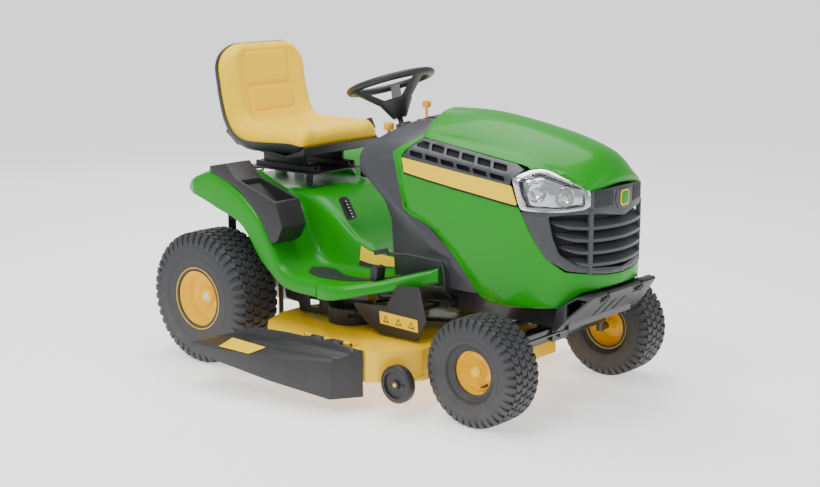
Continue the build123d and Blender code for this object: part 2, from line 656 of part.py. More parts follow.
def fender_deck():
    inner = TUNNEL_HALF
    wing = side_prism(fender_top(0) + SKIRT, -500, 500) & plan_prism(fender_plan(0), 200, 800)
    wing -= box(-200, 1000, -inner, inner, 100, 800)
    hollow = side_prism(fender_top(PANEL) + [(954, 150), (-165, 150)], -500, 500)
    hollow = hollow & plan_prism(fender_plan(PANEL), 100, 800)
    hollow -= box(-200, 1000, -inner - PANEL, inner + PANEL, 100, 800)
    tunnel = side_prism(tunnel_top(0) + [(700, 384), (330, 384), (200, 500), (-165, 600)], -inner, inner)
    inside = TUNNEL_HALF - PANEL
    bore = side_prism([(-161, 646 - PANEL + 4)] + tunnel_top(PANEL)[1:-1] + [(690, 462), (690, 150), (-161, 150)],
                      -inside, inside)
    shell = (wing - hollow) + tunnel
    shell -= bore
    foot = box(340, 560, 160, inner - 2, RAIL_Z0 + RAIL_H + GAP, RAIL_Z0 + RAIL_H + 5)
    shell += foot + flip(foot)
    shell -= box(280, 960, -inner - PANEL - 6, inner + PANEL + 6, 300, 380)
    # the footwell is open ahead of the tunnel for the dash and the column
    shell -= box(598, 960, -CHEEK_HALF - 6, CHEEK_HALF + 6, 370, 480)
    shell -= rod((TANK_X, TANK_Y, 600), (TANK_X, TANK_Y, 700), 27.0)
    shell -= box(300, 500, 250, 274, 350, 640)
    shell -= box(712, 784, -368, -312, 360, 430)
    ear_z = SEAT_PIVOT_Z
    for y in (-172, 160):
        ear = side_prism([(SEAT_PIVOT_X - 20, 648), (SEAT_PIVOT_X + 16, 648),
                          (SEAT_PIVOT_X + 12, ear_z + 10), (SEAT_PIVOT_X - 12, ear_z + 10)], y, y + 12)
        shell += ear
    pin = rod((SEAT_PIVOT_X, -188, ear_z), (SEAT_PIVOT_X, 188, ear_z), 5.0)
    shell -= rod((SEAT_PIVOT_X, -190, ear_z), (SEAT_PIVOT_X, 190, ear_z), 5.0 + FIT)
    return group(shell, pin)


def storage_tray():
    """Black tray on the right fender: a cup holder behind, a long pocket ahead."""
    lift = GAP
    skin = [(x, z + lift) for x, z in fender_top(0)[3:7]]
    outline = skin + [(345, 500), (372, 552), (340, 640), (135, 706), (85, 758), (0, 742)]
    outline = [(-2, 723.5 + lift)] + outline[1:]
    y0 = -FENDER_HALF + 6
    y1 = -300
    tray = side_prism(outline, y0, y1)
    tray -= side_prism([(326, 484), (380, 430), (372, 530)], y0 - 1, y1 + 1)
    pocket = side_prism([(150, 730), (150, 680), (262, 600), (305, 560), (330, 640), (330, 730)], y0 + 12, y1 - 12)
    tray -= pocket & plan_prism([(150, y0), (330, y0), (330, y1), (150, y1)], 500, 800)
    return tray - rod((42, (y0 + y1) / 2, 716), (42, (y0 + y1) / 2, 800), 37.0)


def height_gauge():
    """Slotted index plate on the right wall of the tunnel."""
    y1 = -TUNNEL_HALF - GAP
    y0 = y1 - 8
    outline = [(470, 520), (520, 448), (556, 452), (506, 526)]
    slot = [(486, 514), (526, 460), (540, 462), (500, 518)]
    return side_prism(outline, y0, y1, radius=4) - side_prism(slot, y0 - 1, y1 - 3)


def roof_section(x, crease_y, crease_z, top, drop):
    middle = top - (top - crease_z) * 0.3
    side = crease_z - 0.77 * (280 - crease_y)
    half = [(280, 250), (280, side - drop), (crease_y, crease_z - drop), (crease_y / 2, middle - drop)]
    points = half + [(0, top - drop)] + [(-y, z) for y, z in reversed(half)]
    return make_face(Polyline(*[(x, y, z) for y, z in points], close=True))


def roof(drop):
    """Domed roof line of the hood, carried down past its sides."""
    stations = [(690, 172, 899, HOOD_TOP + 2), (1020, 176, 887, HOOD_TOP - 3), (1273, 176, 864, HOOD_TOP - 45),
                (1434, 164, 806, HOOD_TOP - 85), (1560, 150, 742, HOOD_TOP - 180)]
    return loft([roof_section(x, cy, cz, top, drop) for x, cy, cz, top in stations], ruled=True)


def hood_plan(inset):
    outer = [(690, HOOD_HALF - 28), (950, HOOD_HALF - 12), (1200, HOOD_HALF), (1380, HOOD_HALF - 24),
             (1450, HOOD_HALF - 58), (1498, HOOD_HALF - 104), (1520, 105)]
    half = [(x - (inset if x > 1400 else 0), y - inset) for x, y in outer]
    return mirrored([(690, 0)] + half + [(HOOD_NOSE - inset, 0)])


def hood_side():
    """Side outline: slanted rear edge, arch over the front wheel and the nose."""
    return [(826, 1010), (820, 905), (738, 845), (770, 693), (797, 639), (905, 603), (1016, 519),
            (1128, 403), (1208, 378), (1442, 394), (1510, 452), (1560, 456), (1560, 1010)]


def hood_solid(inset):
    body = roof(inset) & plan_prism(hood_plan(inset), 260, 1005)
    return body


def lamp_outline(grow):
    return [(1262 - grow, 800), (1300, 826 + grow), (1350, 836 + grow), (1500 + grow, 795 + grow),
            (1512 + grow, 712 - grow), (1480, 706 - grow), (1295 - grow, 700 - grow)]


def grille_outline(grow):
    return [(1296 - grow, 692), (1340 - grow, 612 - grow), (1385, 550 - grow), (1450, 513 - grow),
            (1560, 505 - grow), (1560, 700 + 6 - 2 * GAP), (1480, 706 - 2 * GAP), (1300, 700 - 2 * GAP)]


def vent_outline(grow):
    return [(783 - grow, 828), (830, 893 + grow), (1262, 842 + grow), (1262 - 3 * GAP + grow, 800),
            (1290 - 3 * GAP + grow, 716 - grow), (1000, 752 - grow), (800, 776 - grow)]


def hood_shell():
    shell = hood_solid(0) - hood_solid(PANEL)
    shell = shell & side_prism(hood_side(), -300, 300)
    for side in (1, -1):
        y0, y1 = (120, 300) if side > 0 else (-300, -120)
        shell -= side_prism(lamp_outline(GAP), y0, y1)
        shell -= side_prism(vent_outline(GAP), y0, y1)
    shell -= side_prism(grille_outline(GAP), -300, 300)
    return shell - box(1440, 1560, -120.3, 120.3, 690, 775)


def grille():
    """Dark nose piece with its bars; the openings go right through."""
    wall = 10.0
    ring = hood_solid(0.2) - hood_solid(wall)
    part = (ring & side_prism(grille_outline(0), -300, 300)) + (ring & box(1440, 1560, -120, 120, 680, 774))
    for level in range(4):
        z = 530 + 42 * level
        part -= box(1480, 1560, -132, -4, z, z + 24)
        part -= box(1480, 1560, 4, 132, z, z + 24)
    for level in range(3):
        z = 560 + 42 * level
        reach = 1360 + 22 * (3 - level) - 66
        part -= box(reach + 40, 1462, -300, 300, z, z + 24)
    arm = side_prism([(HOOD_PIVOT_X - 14, HOOD_PIVOT_Z - 9), (HOOD_PIVOT_X + 9, HOOD_PIVOT_Z - 9),
                      (HOOD_PIVOT_X + 9, HOOD_PIVOT_Z + 8), (1511, 440), (1511, 522), (1495, 522), (1495, 430)], 99, 107)
    arm -= rod((HOOD_PIVOT_X, 90, HOOD_PIVOT_Z), (HOOD_PIVOT_X, 120, HOOD_PIVOT_Z), 4.0 + FIT)
    return part + arm + flip(arm)


def headlamp_lens(side):
    y0, y1 = (120, 300) if side > 0 else (-300, -120)
    skin = hood_solid(0) - hood_solid(3.0)
    return skin & side_prism(lamp_outline(0), y0 + GAP * (side > 0), y1 - GAP * (side < 0))


def headlamp_lenses():
    return group(headlamp_lens(1), headlamp_lens(-1))


def headlamp_reflectors():
    """Bright bowl behind each lens."""
    y0 = 122.0
    cup = hood_solid(4.0) - hood_solid(26.0)
    pieces = []
    for side in (1, -1):
        low, high = (y0, 300) if side > 0 else (-300, -y0)
        bowl = cup & side_prism([(1285, 800), (1350, 826), (1488, 790), (1498, 718), (1310, 712)], low, high)
        hole = hood_solid(2.0) - hood_solid(22.0)
        hole = hole & side_prism([(1295, 796), (1350, 819), (1482, 784), (1490, 725), (1316, 720)],
                                 low + 6 * (side > 0), high - 6 * (side < 0))
        pieces.append(bowl - hole)
    return group(*pieces)


def side_vents():
    """Dark panel with two rows of slanted cells on each flank."""
    panel = hood_solid(0) - hood_solid(PANEL)
    pieces = []
    for side in (1, -1):
        y0, y1 = (120, 300) if side > 0 else (-300, -120)
        part = panel & side_prism(vent_outline(0), y0, y1)
        for row in range(2):
            for cell in range(5):
                x = 842 + 78 * cell + 16 * row
                z = 846 - 28 * row - 8.2 * cell
                hole = [(x, z + 16), (x - 10, z), (x + 50, z - 6), (x + 60, z + 10)]
                part -= side_prism(hole, y0, y1)
        pieces.append(part)
    return group(*pieces)


def under_hood(back, inner):
    """Room beside the dash that the hood's flank drops into."""
    edge = [(816, 1010), (810, 905), (731, 845), (763, 691), (790, 633), (899, 596), (1010, 511), (1116, 399)]
    edge = [(x - back, z - back) for x, z in edge]
    flank = side_prism(edge + [(1116, 300), (1300, 300), (1300, 1010)], inner, 300)
    return flank + flip(flank)


def dash_solid(inset):
    side = [(600, 393), (616, 600), (630, 668), (566, 735), (534, 760), (534, 838), (572, 862), (640, 900),
            (740, 948), (812, 966), (870, 968), (870, 612), (905, 585), (1016, 503), (1110, 405), (1110, 393)]
    if inset:
        side = [(604, 300), (620, 599), (636, 668), (571, 738), (538, 762), (538, 835), (574, 858), (641, 896),
                (741, 944), (813, 962), (866, 963), (866, 609), (903, 581), (1013, 500), (1106, 403), (1106, 300)]
    section = [(CHEEK_HALF - inset, 300), (CHEEK_HALF - inset, 812 - inset), (180, 872 - inset),
               (90, 930 - inset), (0, 966 - inset)]
    section = section + [(-y, z) for y, z in reversed(section[:-1])]
    solid = side_prism(side, -300, 300) & front_prism(section, 500, 1120)
    return solid - under_hood(inset, DASH_HALF - inset)


def dash_tower():
    shell = dash_solid(0) - dash_solid(PANEL)
    shell -= box(862, 1120, PANEL - DASH_HALF, DASH_HALF - PANEL, 300, 608)
    shell -= rod(column_point(780), column_point(1000), SHAFT_R + 6)
    foot = box(700, 1100, 150, CHEEK_HALF, ENGINE_Z + GAP, 394)
    shell += foot + flip(foot)
    boot = Plane(origin=column_point(850), z_dir=(-sin(radians(TILT)), 0, cos(radians(TILT))))
    cone = boot * (Pos(0, 0, 30) * Cone(52.0, 30.0, 60.0))
    cone -= dash_solid(0)
    cone -= rod(column_point(780), column_point(1000), SHAFT_R + FIT)
    top = dash_solid(0)
    shell -= rod((PTO_X, PTO_Y, PTO_SLOPE_Z - 60), (PTO_X, PTO_Y, PTO_SLOPE_Z + 60), 6.0 + FIT)
    shell -= rod((KEY_X, KEY_Y, PTO_SLOPE_Z - 60), (KEY_X, KEY_Y, PTO_SLOPE_Z + 60), 6.0 + FIT)
    shell -= box(THROTTLE_X - 46, THROTTLE_X + 46, THROTTLE_Y - 4, THROTTLE_Y + 4, 850, 1000)
    hanger = box(THROTTLE_X - 10, THROTTLE_X + 10, THROTTLE_Y + 5, THROTTLE_Y + 10, THROTTLE_Z - 10, 990) & top
    shell += hanger
    shell += rod((THROTTLE_X, THROTTLE_Y + 9, THROTTLE_Z), (THROTTLE_X, THROTTLE_Y - 6, THROTTLE_Z), 4.0)
    return group(shell, cone)


PTO_X = 590.0
PTO_Y = -90.0
KEY_X = 585.0
KEY_Y = 95.0
PTO_SLOPE_Z = 870.0
THROTTLE_X = 735.0
THROTTLE_Y = -52.0
THROTTLE_Z = 880.0


def pto_knob():
    top = PTO_SLOPE_Z + 22
    stem = rod((PTO_X, PTO_Y, PTO_SLOPE_Z - 45), (PTO_X, PTO_Y, top), 6.0)
    knob = rod((PTO_X, PTO_Y, top), (PTO_X, PTO_Y, top + 26), 19.0)
    return stem + fillet(knob.edges(), 6)


def ignition_key():
    top = PTO_SLOPE_Z + 18
    stem = rod((KEY_X, KEY_Y, PTO_SLOPE_Z - 40), (KEY_X, KEY_Y, top), 6.0)
    bow = box(KEY_X - 14, KEY_X + 14, KEY_Y - 3, KEY_Y + 3, top - 1, top + 26)
    return stem + fillet(bow.edges().filter_by(Axis.Y), 8)


def throttle_lever():
    z1 = 984.0
    bar = box(THROTTLE_X - 5, THROTTLE_X + 5, THROTTLE_Y - 1.5, THROTTLE_Y + 1.5, THROTTLE_Z, z1)
    bar += rod((THROTTLE_X, THROTTLE_Y - 1.5, THROTTLE_Z), (THROTTLE_X, THROTTLE_Y + 1.5, THROTTLE_Z), 10.0)
    knob = box(THROTTLE_X - 13, THROTTLE_X + 13, THROTTLE_Y - 9, THROTTLE_Y + 9, z1 - 4, z1 + 20)
    bar += fillet(knob.edges().filter_by(Axis.Y), 8)
    hole_ends = ((THROTTLE_X, THROTTLE_Y - 3, THROTTLE_Z), (THROTTLE_X, THROTTLE_Y + 3, THROTTLE_Z))
    return bar - rod(hole_ends[0], hole_ends[1], 4.0 + FIT)


def bumper():
    outline = [(FRAME_FRONT + GAP - 30, 318), (1436, 312), (BUMPER_TIP, 432), (BUMPER_TIP - 4, 440), (1500, 434),
               (FRAME_FRONT + GAP - 10, 392)]
    inner = [(1400, 330), (1438, 322), (BUMPER_TIP - 18, 422), (1502, 428), (1446, 388), (1400, 388)]
    plan = mirrored([(1380, 0), (1380, BUMPER_HALF), (1470, BUMPER_HALF), (BUMPER_TIP, 190), (1560, 0)])
    solid = side_prism(outline, -BUMPER_HALF, BUMPER_HALF) & plan_prism(plan, 300, 450)
    shell = solid - side_prism(inner, -BUMPER_HALF + 5, BUMPER_HALF - 5)
    shell -= box(1380, FRAME_FRONT + GAP, -RAIL_Y - 6, RAIL_Y + 6, 300, 400)
    for y in (-60, 0, 60):
        shell -= box(1440, 1530, y - 6, y + 6, 335, 390)
    for side in (1, -1):
        y0, y1 = (97, 109) if side > 0 else (-109, -97)
        shell -= box(1484, 1560, y0, y1, 395, 460)
        for a, b in ((85, 98), (108, 121)):
            ends = ((HOOD_PIVOT_X, side * a, HOOD_PIVOT_Z), (HOOD_PIVOT_X, side * b, HOOD_PIVOT_Z))
            shell += rod(ends[0], ends[1], 9.0)
        shell += rod((HOOD_PIVOT_X, side * 90, HOOD_PIVOT_Z), (HOOD_PIVOT_X, side * 115, HOOD_PIVOT_Z), 4.0)
    return shell


def side_shields():
    """Belt shield ahead of each footrest, on a strut from the rail."""
    outline = [(645, 312), (705, 254), (775, 218), (950, 218), (985, 300), (955, 410), (855, 402), (805, 322)]
    plate = side_prism(outline, 352, 358, radius=8)
    plate += box(900, 930, RAIL_Y + GAP, 353, 311, 317)
    return group(plate, flip(plate))


# =============================================================================================
# seat
# =============================================================================================
def seat_bracket():
    z = SEAT_BRACKET_Z
    plate = box(-90, SEAT_PIVOT_X + 20, -150, 150, z, z + 5)
    plate -= box(-40, 80, -70, 70, z - 1, z + 6)
    for y in (-156, 150):
        ear = side_prism([(SEAT_PIVOT_X - 14, z + 5), (SEAT_PIVOT_X - 14, SEAT_PIVOT_Z - 12),
                          (SEAT_PIVOT_X + 14, SEAT_PIVOT_Z - 12), (SEAT_PIVOT_X + 20, z + 5)], y, y + 6)
        plate += ear
    plate -= rod((SEAT_PIVOT_X, -170, SEAT_PIVOT_Z), (SEAT_PIVOT_X, 170, SEAT_PIVOT_Z), 5.0 + FIT)
    for y in (-100, 100):
        plate += box(-70, 235, y - 18, y + 18, z + 5, z + 24)
        plate -= box(-71, 236, y - 8, y + 8, z + 10, z + 25)
    return plate


def seat_springs():
    """Two coil springs under the rear of the seat bracket."""
    pieces = []
    for y in (-115, 115):
        pieces.append(spring(-60, y, 650, SEAT_BRACKET_Z - GAP, 20.0, 3.0, 4))
    return group(*pieces)


def spring(x, y, z0, z1, r, wire, turns):
    coil = Pos(x, y, z0 + wire + GAP) * Helix(pitch=(z1 - z0 - 2 * wire - GAP) / turns,
                                              height=z1 - z0 - 2 * wire - GAP, radius=r)
    return sweep(Plane(origin=coil @ 0, z_dir=coil % 0) * Circle(wire), path=coil, is_frenet=True)


def seat_pan():
    z = SEAT_PAN_Z
    pan = side_prism([(-140, 838), (-80, 792), (190, z + 6), (275, 776), (283, 812), (255, 796 - GAP),
                      (180, z + 20 - GAP), (-66, 808 - GAP), (-122 - GAP, 862 - GAP)], -SEAT_HALF + 14, SEAT_HALF - 14)
    runners = []
    for y in (-100, 100):
        runner = box(-40, 190, y - 7.5, y + 7.5, SEAT_BRACKET_Z + 10 + GAP, z + 12)
        runners.append(runner)
    for runner in runners:
        pan += runner - side_prism([(-140, 838), (-80, 792), (190, z + 6), (275, 776), (275, 900), (-140, 900)],
                                   -SEAT_HALF, SEAT_HALF)
    return pan


def seat_cushion():
    outline = [(-122, 862), (-66, 808), (180, SEAT_PAN_Z + 20), (255, 796), (290, 822), (288, 862), (235, 880),
               (60, 872), (-40, 884), (-78, 930), (-112, 1120), (-132, 1165), (-168, 1173), (-182, 1120),
               (-164, 990), (-144, 900)]
    seat = side_prism(outline, -SEAT_HALF, SEAT_HALF)
    plan = mirrored([(-190, 0), (-190, SEAT_HALF - 25), (-100, SEAT_HALF), (250, SEAT_HALF - 5),
                     (292, SEAT_HALF - 60), (296, 0)])
    front = [(SEAT_HALF, 740), (SEAT_HALF, 1090), (SEAT_HALF - 60, 1180)]
    front = front + [(-y, z) for y, z in reversed(front)]
    return seat & plan_prism(plan, 700, 1200) & front_prism(front, -220, 320)


# =============================================================================================
# deck
# =============================================================================================
def deck_plan():
    return [(DECK_NOSE, -195), (1060, -200), (1015, -300), (1003, -400), (903, -514), (870, -DECK_HALF),
            (400, -DECK_HALF), (320, -450), (272, -330), (272, -200), (330, -70), (430, 40), (457, 180),
            (457, 320), (490, 420), (580, 510), (680, DECK_HALF), (870, DECK_HALF), (903, 514), (1003, 400),
            (1015, 300), (1060, 200), (DECK_NOSE, 195)]


def deck_shell():
    face = make_face(FilletPolyline(*[(x, y, DECK_BOTTOM) for x, y in deck_plan()], radius=12, close=True))
    inner = offset(face, amount=-DECK_T)
    shell = extrude(face, amount=DECK_TOP - DECK_BOTTOM, dir=(0, 0, 1))
    hollow = extrude(inner, amount=DECK_TOP - DECK_BOTTOM - DECK_T, dir=(0, 0, 1))
    shell -= hollow
    shell -= box(580, 830, -DECK_HALF - 5, -DECK_HALF + 30, DECK_BOTTOM - 1, DECK_TOP - 12)
    for x, y in ((SPINDLE_RIGHT_X, -SPINDLE_Y), (SPINDLE_LEFT_X, SPINDLE_Y)):
        shell += rod((x, y, 150), (x, y, 232), 28.0) + rod((x, y, DECK_TOP - 1), (x, y, DECK_TOP + 10), 58.0)
        shell -= rod((x, y, 140), (x, y, 240), SPINDLE_R + FIT)
    for side in (1, -1):
        y0, y1 = (138, 146) if side > 0 else (-146, -138)
        link = side_prism([(LIFT_X + LIFT_ARM - 18, DECK_TOP - 1), (LIFT_X + LIFT_ARM + 20, DECK_TOP - 1),
                           (LIFT_X + LIFT_ARM + 12, LIFT_Z - 25), (LIFT_X + LIFT_ARM + 16, LIFT_Z + 12),
                           (LIFT_X + LIFT_ARM - 20, LIFT_Z + 12), (LIFT_X + LIFT_ARM - 16, LIFT_Z - 25)], y0, y1)
        slot = side_prism([(LIFT_X + LIFT_ARM - 12, LIFT_Z - 6), (LIFT_X + LIFT_ARM + 7, LIFT_Z - 6),
                           (LIFT_X + LIFT_ARM + 7, LIFT_Z + 6), (LIFT_X + LIFT_ARM - 12, LIFT_Z + 6)], y0 - 1, y1 + 1)
        shell += link - slot
        wall = side * 392
        shell += rod((GAUGE_X, wall, GAUGE_Z), (GAUGE_X, side * (GAUGE_Y - GAUGE_W / 2 - 2), GAUGE_Z), 12.0)
        shell += rod((GAUGE_X, wall, GAUGE_Z), (GAUGE_X, side * (GAUGE_Y + GAUGE_W / 2 + 1), GAUGE_Z), GAUGE_BORE - FIT)
    for x in (610, 700, 790):
        shell += pipe((x - 14, -HINGE_Y, HINGE_Z), (x + 14, -HINGE_Y, HINGE_Z), 7.0, 4.0 + FIT)
        shell += box(x - 14, x + 14, -HINGE_Y + 5, -HINGE_Y + 40, DECK_TOP - 1, DECK_TOP + 8)
    return shell


def deflector_solid(inset):
    plan = [(864 - inset, -HINGE_Y - 4 + inset * 4), (800 - inset, -640 + inset), (560, -690 + inset),
            (190 + inset, -DEFLECTOR_OUT + inset), (186 + inset, -640), (255, -HINGE_Y - 10 + inset * 4)]
    side = [(868, HINGE_Z - 10 - inset), (640, HINGE_Z - 10 - inset), (383, 200 - inset), (170, 156 - inset),
            (170, 128 - 20 * inset), (560, 82 - 20 * inset), (794, 50 - 20 * inset), (868, 50 - 20 * inset)]
    slope = [(-HINGE_Y + 20, HINGE_Z - 8 - inset), (-HINGE_Y - 10, HINGE_Z - 8 - inset), (-DEFLECTOR_OUT, 156 - inset),
             (-DEFLECTOR_OUT, -100), (-HINGE_Y + 20, -100)]
    return plan_prism(plan, -60, 300) & side_prism(side, -800, -500) & front_prism(slope, 100, 900)


def deflector():
    """Black side discharge chute, hinged along its top inner edge."""
    shell = deflector_solid(0) - deflector_solid(PANEL)
    for x in (655, 745):
        shell += pipe((x - 26, -HINGE_Y, HINGE_Z), (x + 26, -HINGE_Y, HINGE_Z), 7.0, 4.0 + FIT)
        shell += box(x - 26, x + 26, -HINGE_Y - 22, -HINGE_Y - 5, HINGE_Z - 13, HINGE_Z + 2)
    pin = rod((590, -HINGE_Y, HINGE_Z), (810, -HINGE_Y, HINGE_Z), 4.0)
    return group(shell, pin)


def belt_covers():
    """Cap over each spindle pulley, open where the belt runs in."""
    loops = []
    for x, y, r in deck_pulleys():
        loops.append(Pos(x, y, MOWER_BELT_Z - BELT_H) * Edge.make_circle(r + BELT_T + 8))
    path = extrude(make_hull(loops), amount=2 * BELT_H, dir=(0, 0, 1))
    caps = []
    for x, y in ((SPINDLE_RIGHT_X, -SPINDLE_Y), (SPINDLE_LEFT_X, SPINDLE_Y)):
        cap = rod((x, y, DECK_TOP + GAP), (x, y, COVER_TOP), COVER_R)
        cap -= rod((x, y, DECK_TOP - 1), (x, y, COVER_TOP - 3), COVER_R - 3)
        caps.append(cap - path)
    return group(*caps)


def blade(x, y, turn):
    half_width = 28.0
    bar = box(-BLADE_R + 8, BLADE_R - 8, -half_width, half_width, BLADE_Z - 2.5, BLADE_Z + 2.5)
    for end in (1, -1):
        x0 = end * (BLADE_R - 95)
        x1 = end * (BLADE_R - 8)
        sail = box(min(x0, x1), max(x0, x1), half_width - 4 if end > 0 else -half_width,
                   half_width if end > 0 else 4 - half_width, BLADE_Z - 2, BLADE_Z + 16)
        bar += sail
    bar = Pos(x, y, 0) * (Rot(0, 0, turn) * bar)
    bar += rod((x, y, BLADE_Z - 12), (x, y, BLADE_Z - 2), 16.0)
    bar += rod((x, y, BLADE_Z - 12), (x, y, MOWER_BELT_Z + 12), SPINDLE_R)
    bar += rod((x, y, BLADE_Z + 2), (x, y, 149.5), 18.0)
    pulley = rod((x, y, MOWER_BELT_Z - 6), (x, y, MOWER_BELT_Z + 6), DECK_PULLEY_R)
    return bar + pulley


def gauge_wheel(side):
    y0 = side * (GAUGE_Y - GAUGE_W / 2)
    y1 = side * (GAUGE_Y + GAUGE_W / 2)
    wheel = rod((GAUGE_X, y0, GAUGE_Z), (GAUGE_X, y1, GAUGE_Z), GAUGE_R)
    wheel = fillet(wheel.edges(), 9)
    face = y1 - side * 7
    wheel -= rod((GAUGE_X, face, GAUGE_Z), (GAUGE_X, y1 + side, GAUGE_Z), 46.0) - rod(
        (GAUGE_X, face - side, GAUGE_Z), (GAUGE_X, y1 + side, GAUGE_Z), 16.0)
    return wheel - rod((GAUGE_X, y0 - side, GAUGE_Z), (GAUGE_X, y1 + side, GAUGE_Z), GAUGE_BORE)


LEVER_Y = 262.0


def lift_lever():
    """Cross shaft with its two arms and the hand lever on the left."""
    shaft = rod((LIFT_X, -RAIL_Y - 4, LIFT_Z), (LIFT_X, LEVER_Y + 4, LIFT_Z), 8.0)
    for side in (1, -1):
        y0, y1 = (124, 132) if side > 0 else (-132, -124)
        shaft += box(LIFT_X - 12, LIFT_X + LIFT_ARM + 10, y0, y1, LIFT_Z - 11, LIFT_Z + 11)
        pin_x = LIFT_X + LIFT_ARM
        shaft += rod((pin_x, side * 130, LIFT_Z), (pin_x, side * 152, LIFT_Z), 5.0)
    knob = (185.0, 858.0)
    bar = side_prism([(LIFT_X - 14, LIFT_Z - 12), (LIFT_X + 14, LIFT_Z - 8), (LIFT_X - 40, LIFT_Z + 110),
                      (knob[0] + 16, knob[1] - 20), (knob[0] - 4, knob[1] - 30), (LIFT_X - 60, LIFT_Z + 100)],
                     LEVER_Y - 3, LEVER_Y + 3)
    lean = Vector(knob[0] - LIFT_X, 0, knob[1] - LIFT_Z).normalized()
    low = Vector(knob[0], LEVER_Y, knob[1]) - lean * 34
    high = Vector(knob[0], LEVER_Y, knob[1]) + lean * 12
    grip = rod(tuple(low), tuple(high), 15.0)
    return shaft + bar + fillet(grip.edges(), 5)


# =============================================================================================
# pedals
# =============================================================================================
def pedal_hub(y, width):
    return pipe((PEDAL_X, y, PEDAL_Z), (PEDAL_X, y + width, PEDAL_Z), 15.0, PEDAL_STUD_R + FIT)


def stud_bore(side):
    ends = ((PEDAL_X, side * (RAIL_Y - 5), PEDAL_Z), (PEDAL_X, side * (RAIL_Y + 90), PEDAL_Z))
    return rod(ends[0], ends[1], PEDAL_STUD_R + FIT)


def pedal_arm(side):
    """Round bar from the hub, out past the dash and back over the footrest."""
    y = side * RAIL_Y
    return tube([(PEDAL_X, y + side * 18, PEDAL_Z + 12), (PEDAL_X + 2, y + side * 60, PEDAL_Z + 49),
                 (PEDAL_X + 6, y + side * 62, PEDAL_Z + 90), (PEDAL_X - 2, y + side * 66, PEDAL_Z + 149),
                 (830, y + side * 85, 494), (775, y + side * 128, 496)], 6.0, 14.0)


def forward_pedal():
    pad = Pos(758, -328, 503) * (Rot(0, -14, -38) * fillet(Box(62, 44, 16).edges().filter_by(Axis.Z), 8))
    return pedal_hub(-RAIL_Y - 28, 24) + pedal_arm(-1) + pad - stud_bore(-1)


def reverse_pedal():
    y = -RAIL_Y - 32
    hub = pedal_hub(y - 20, 20)
    arm = tube([(PEDAL_X - 8, y - 10, PEDAL_Z + 6), (925, -242, 338), (800, -275, 335),
                (752, -340, 335), (752, -340, 410)], 5.0, 12.0)
    pad = side_prism([(738, 404), (764, 404), (770, 450), (748, 456), (736, 442)], -362, -318, radius=5)
    return hub + arm + pad - stud_bore(-1)


def brake_pedal():
    pad = Pos(758, 336, 502) * (Rot(0, -18, 0) * fillet(Box(62, 92, 12).edges().filter_by(Axis.Z), 8))
    return pedal_hub(RAIL_Y + 4, 24) + pedal_arm(1) + pad - stud_bore(1)


# =============================================================================================
# export
# =============================================================================================
def nodes():
    parts = {
        "frame": frame(),
        "hitch_plate": hitch_plate(),
        "transaxle_case": transaxle_case(),
        "transaxle_pulley": transaxle_pulley(),
        "traction_belt": traction_belt(),
        "crank_pulleys": crank_pulleys(),
        "engine_block": engine_block(),
        "blower_housing": blower_housing(),
        "muffler": muffler(),
        "air_cleaner": air_cleaner(),
        "battery": battery(),
        "fuel_tank": fuel_tank(),
        "fuel_cap": fuel_cap(),
        "fender_deck": fender_deck(),
        "storage_tray": storage_tray(),
        "height_gauge": height_gauge(),
        "dash_tower": dash_tower(),
        "pto_knob": pto_knob(),
        "ignition_key": ignition_key(),
        "throttle_lever": throttle_lever(),
        "bumper": bumper(),
        "side_shields": side_shields(),
        "hood_shell": hood_shell(),
        "grille": grille(),
        "headlamp_lenses": headlamp_lenses(),
        "headlamp_reflectors": headlamp_reflectors(),
        "side_vents": side_vents(),
        "steering_wheel": steering_wheel(),
        "sector_gear": sector_gear(),
        "drag_link": drag_link(),
        "tie_rod": tie_rod(),
        "front_axle": front_axle(),
        "seat_bracket": seat_bracket(),
        "seat_springs": seat_springs(),
        "seat_pan": seat_pan(),
        "seat_cushion": seat_cushion(),
        "deck_shell": deck_shell(),
        "deflector": deflector(),
        "belt_covers": belt_covers(),
        "mower_belt": mower_belt(),
        "blade_right": blade(SPINDLE_RIGHT_X, -SPINDLE_Y, 20),
        "blade_left": blade(SPINDLE_LEFT_X, SPINDLE_Y, -35),
        "lift_lever": lift_lever(),
        "forward_pedal": forward_pedal(),
        "reverse_pedal": reverse_pedal(),
        "brake_pedal": brake_pedal(),
    }
    for side, name in ((-1, "right"), (1, "left")):
        parts["rear_tyre_" + name] = rear_tyre(side)
        parts["rear_rim_" + name] = rear_rim(side)
        parts["front_tyre_" + name] = front_tyre(side)
        parts["front_rim_" + name] = front_rim(side)
        parts["spindle_" + name] = spindle(side)
        parts["gauge_wheel_" + name] = gauge_wheel(side)
    return parts


def export():
    centre_x = (HITCH_END + BUMPER_TIP) / 2
    centre_y = (DECK_HALF - DEFLECTOR_OUT) / 2
    os.makedirs("parts", exist_ok=True)
    for name, shape in nodes().items():
        export_step(Pos(-centre_x, -centre_y, 0) * shape, "parts/" + name + ".step")


export()
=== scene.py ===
import math
from bisect import bisect_right

import bmesh
import bpy
from mathutils import Matrix, Vector
from mathutils.bvhtree import BVHTree
from mathutils.geometry import delaunay_2d_cdt


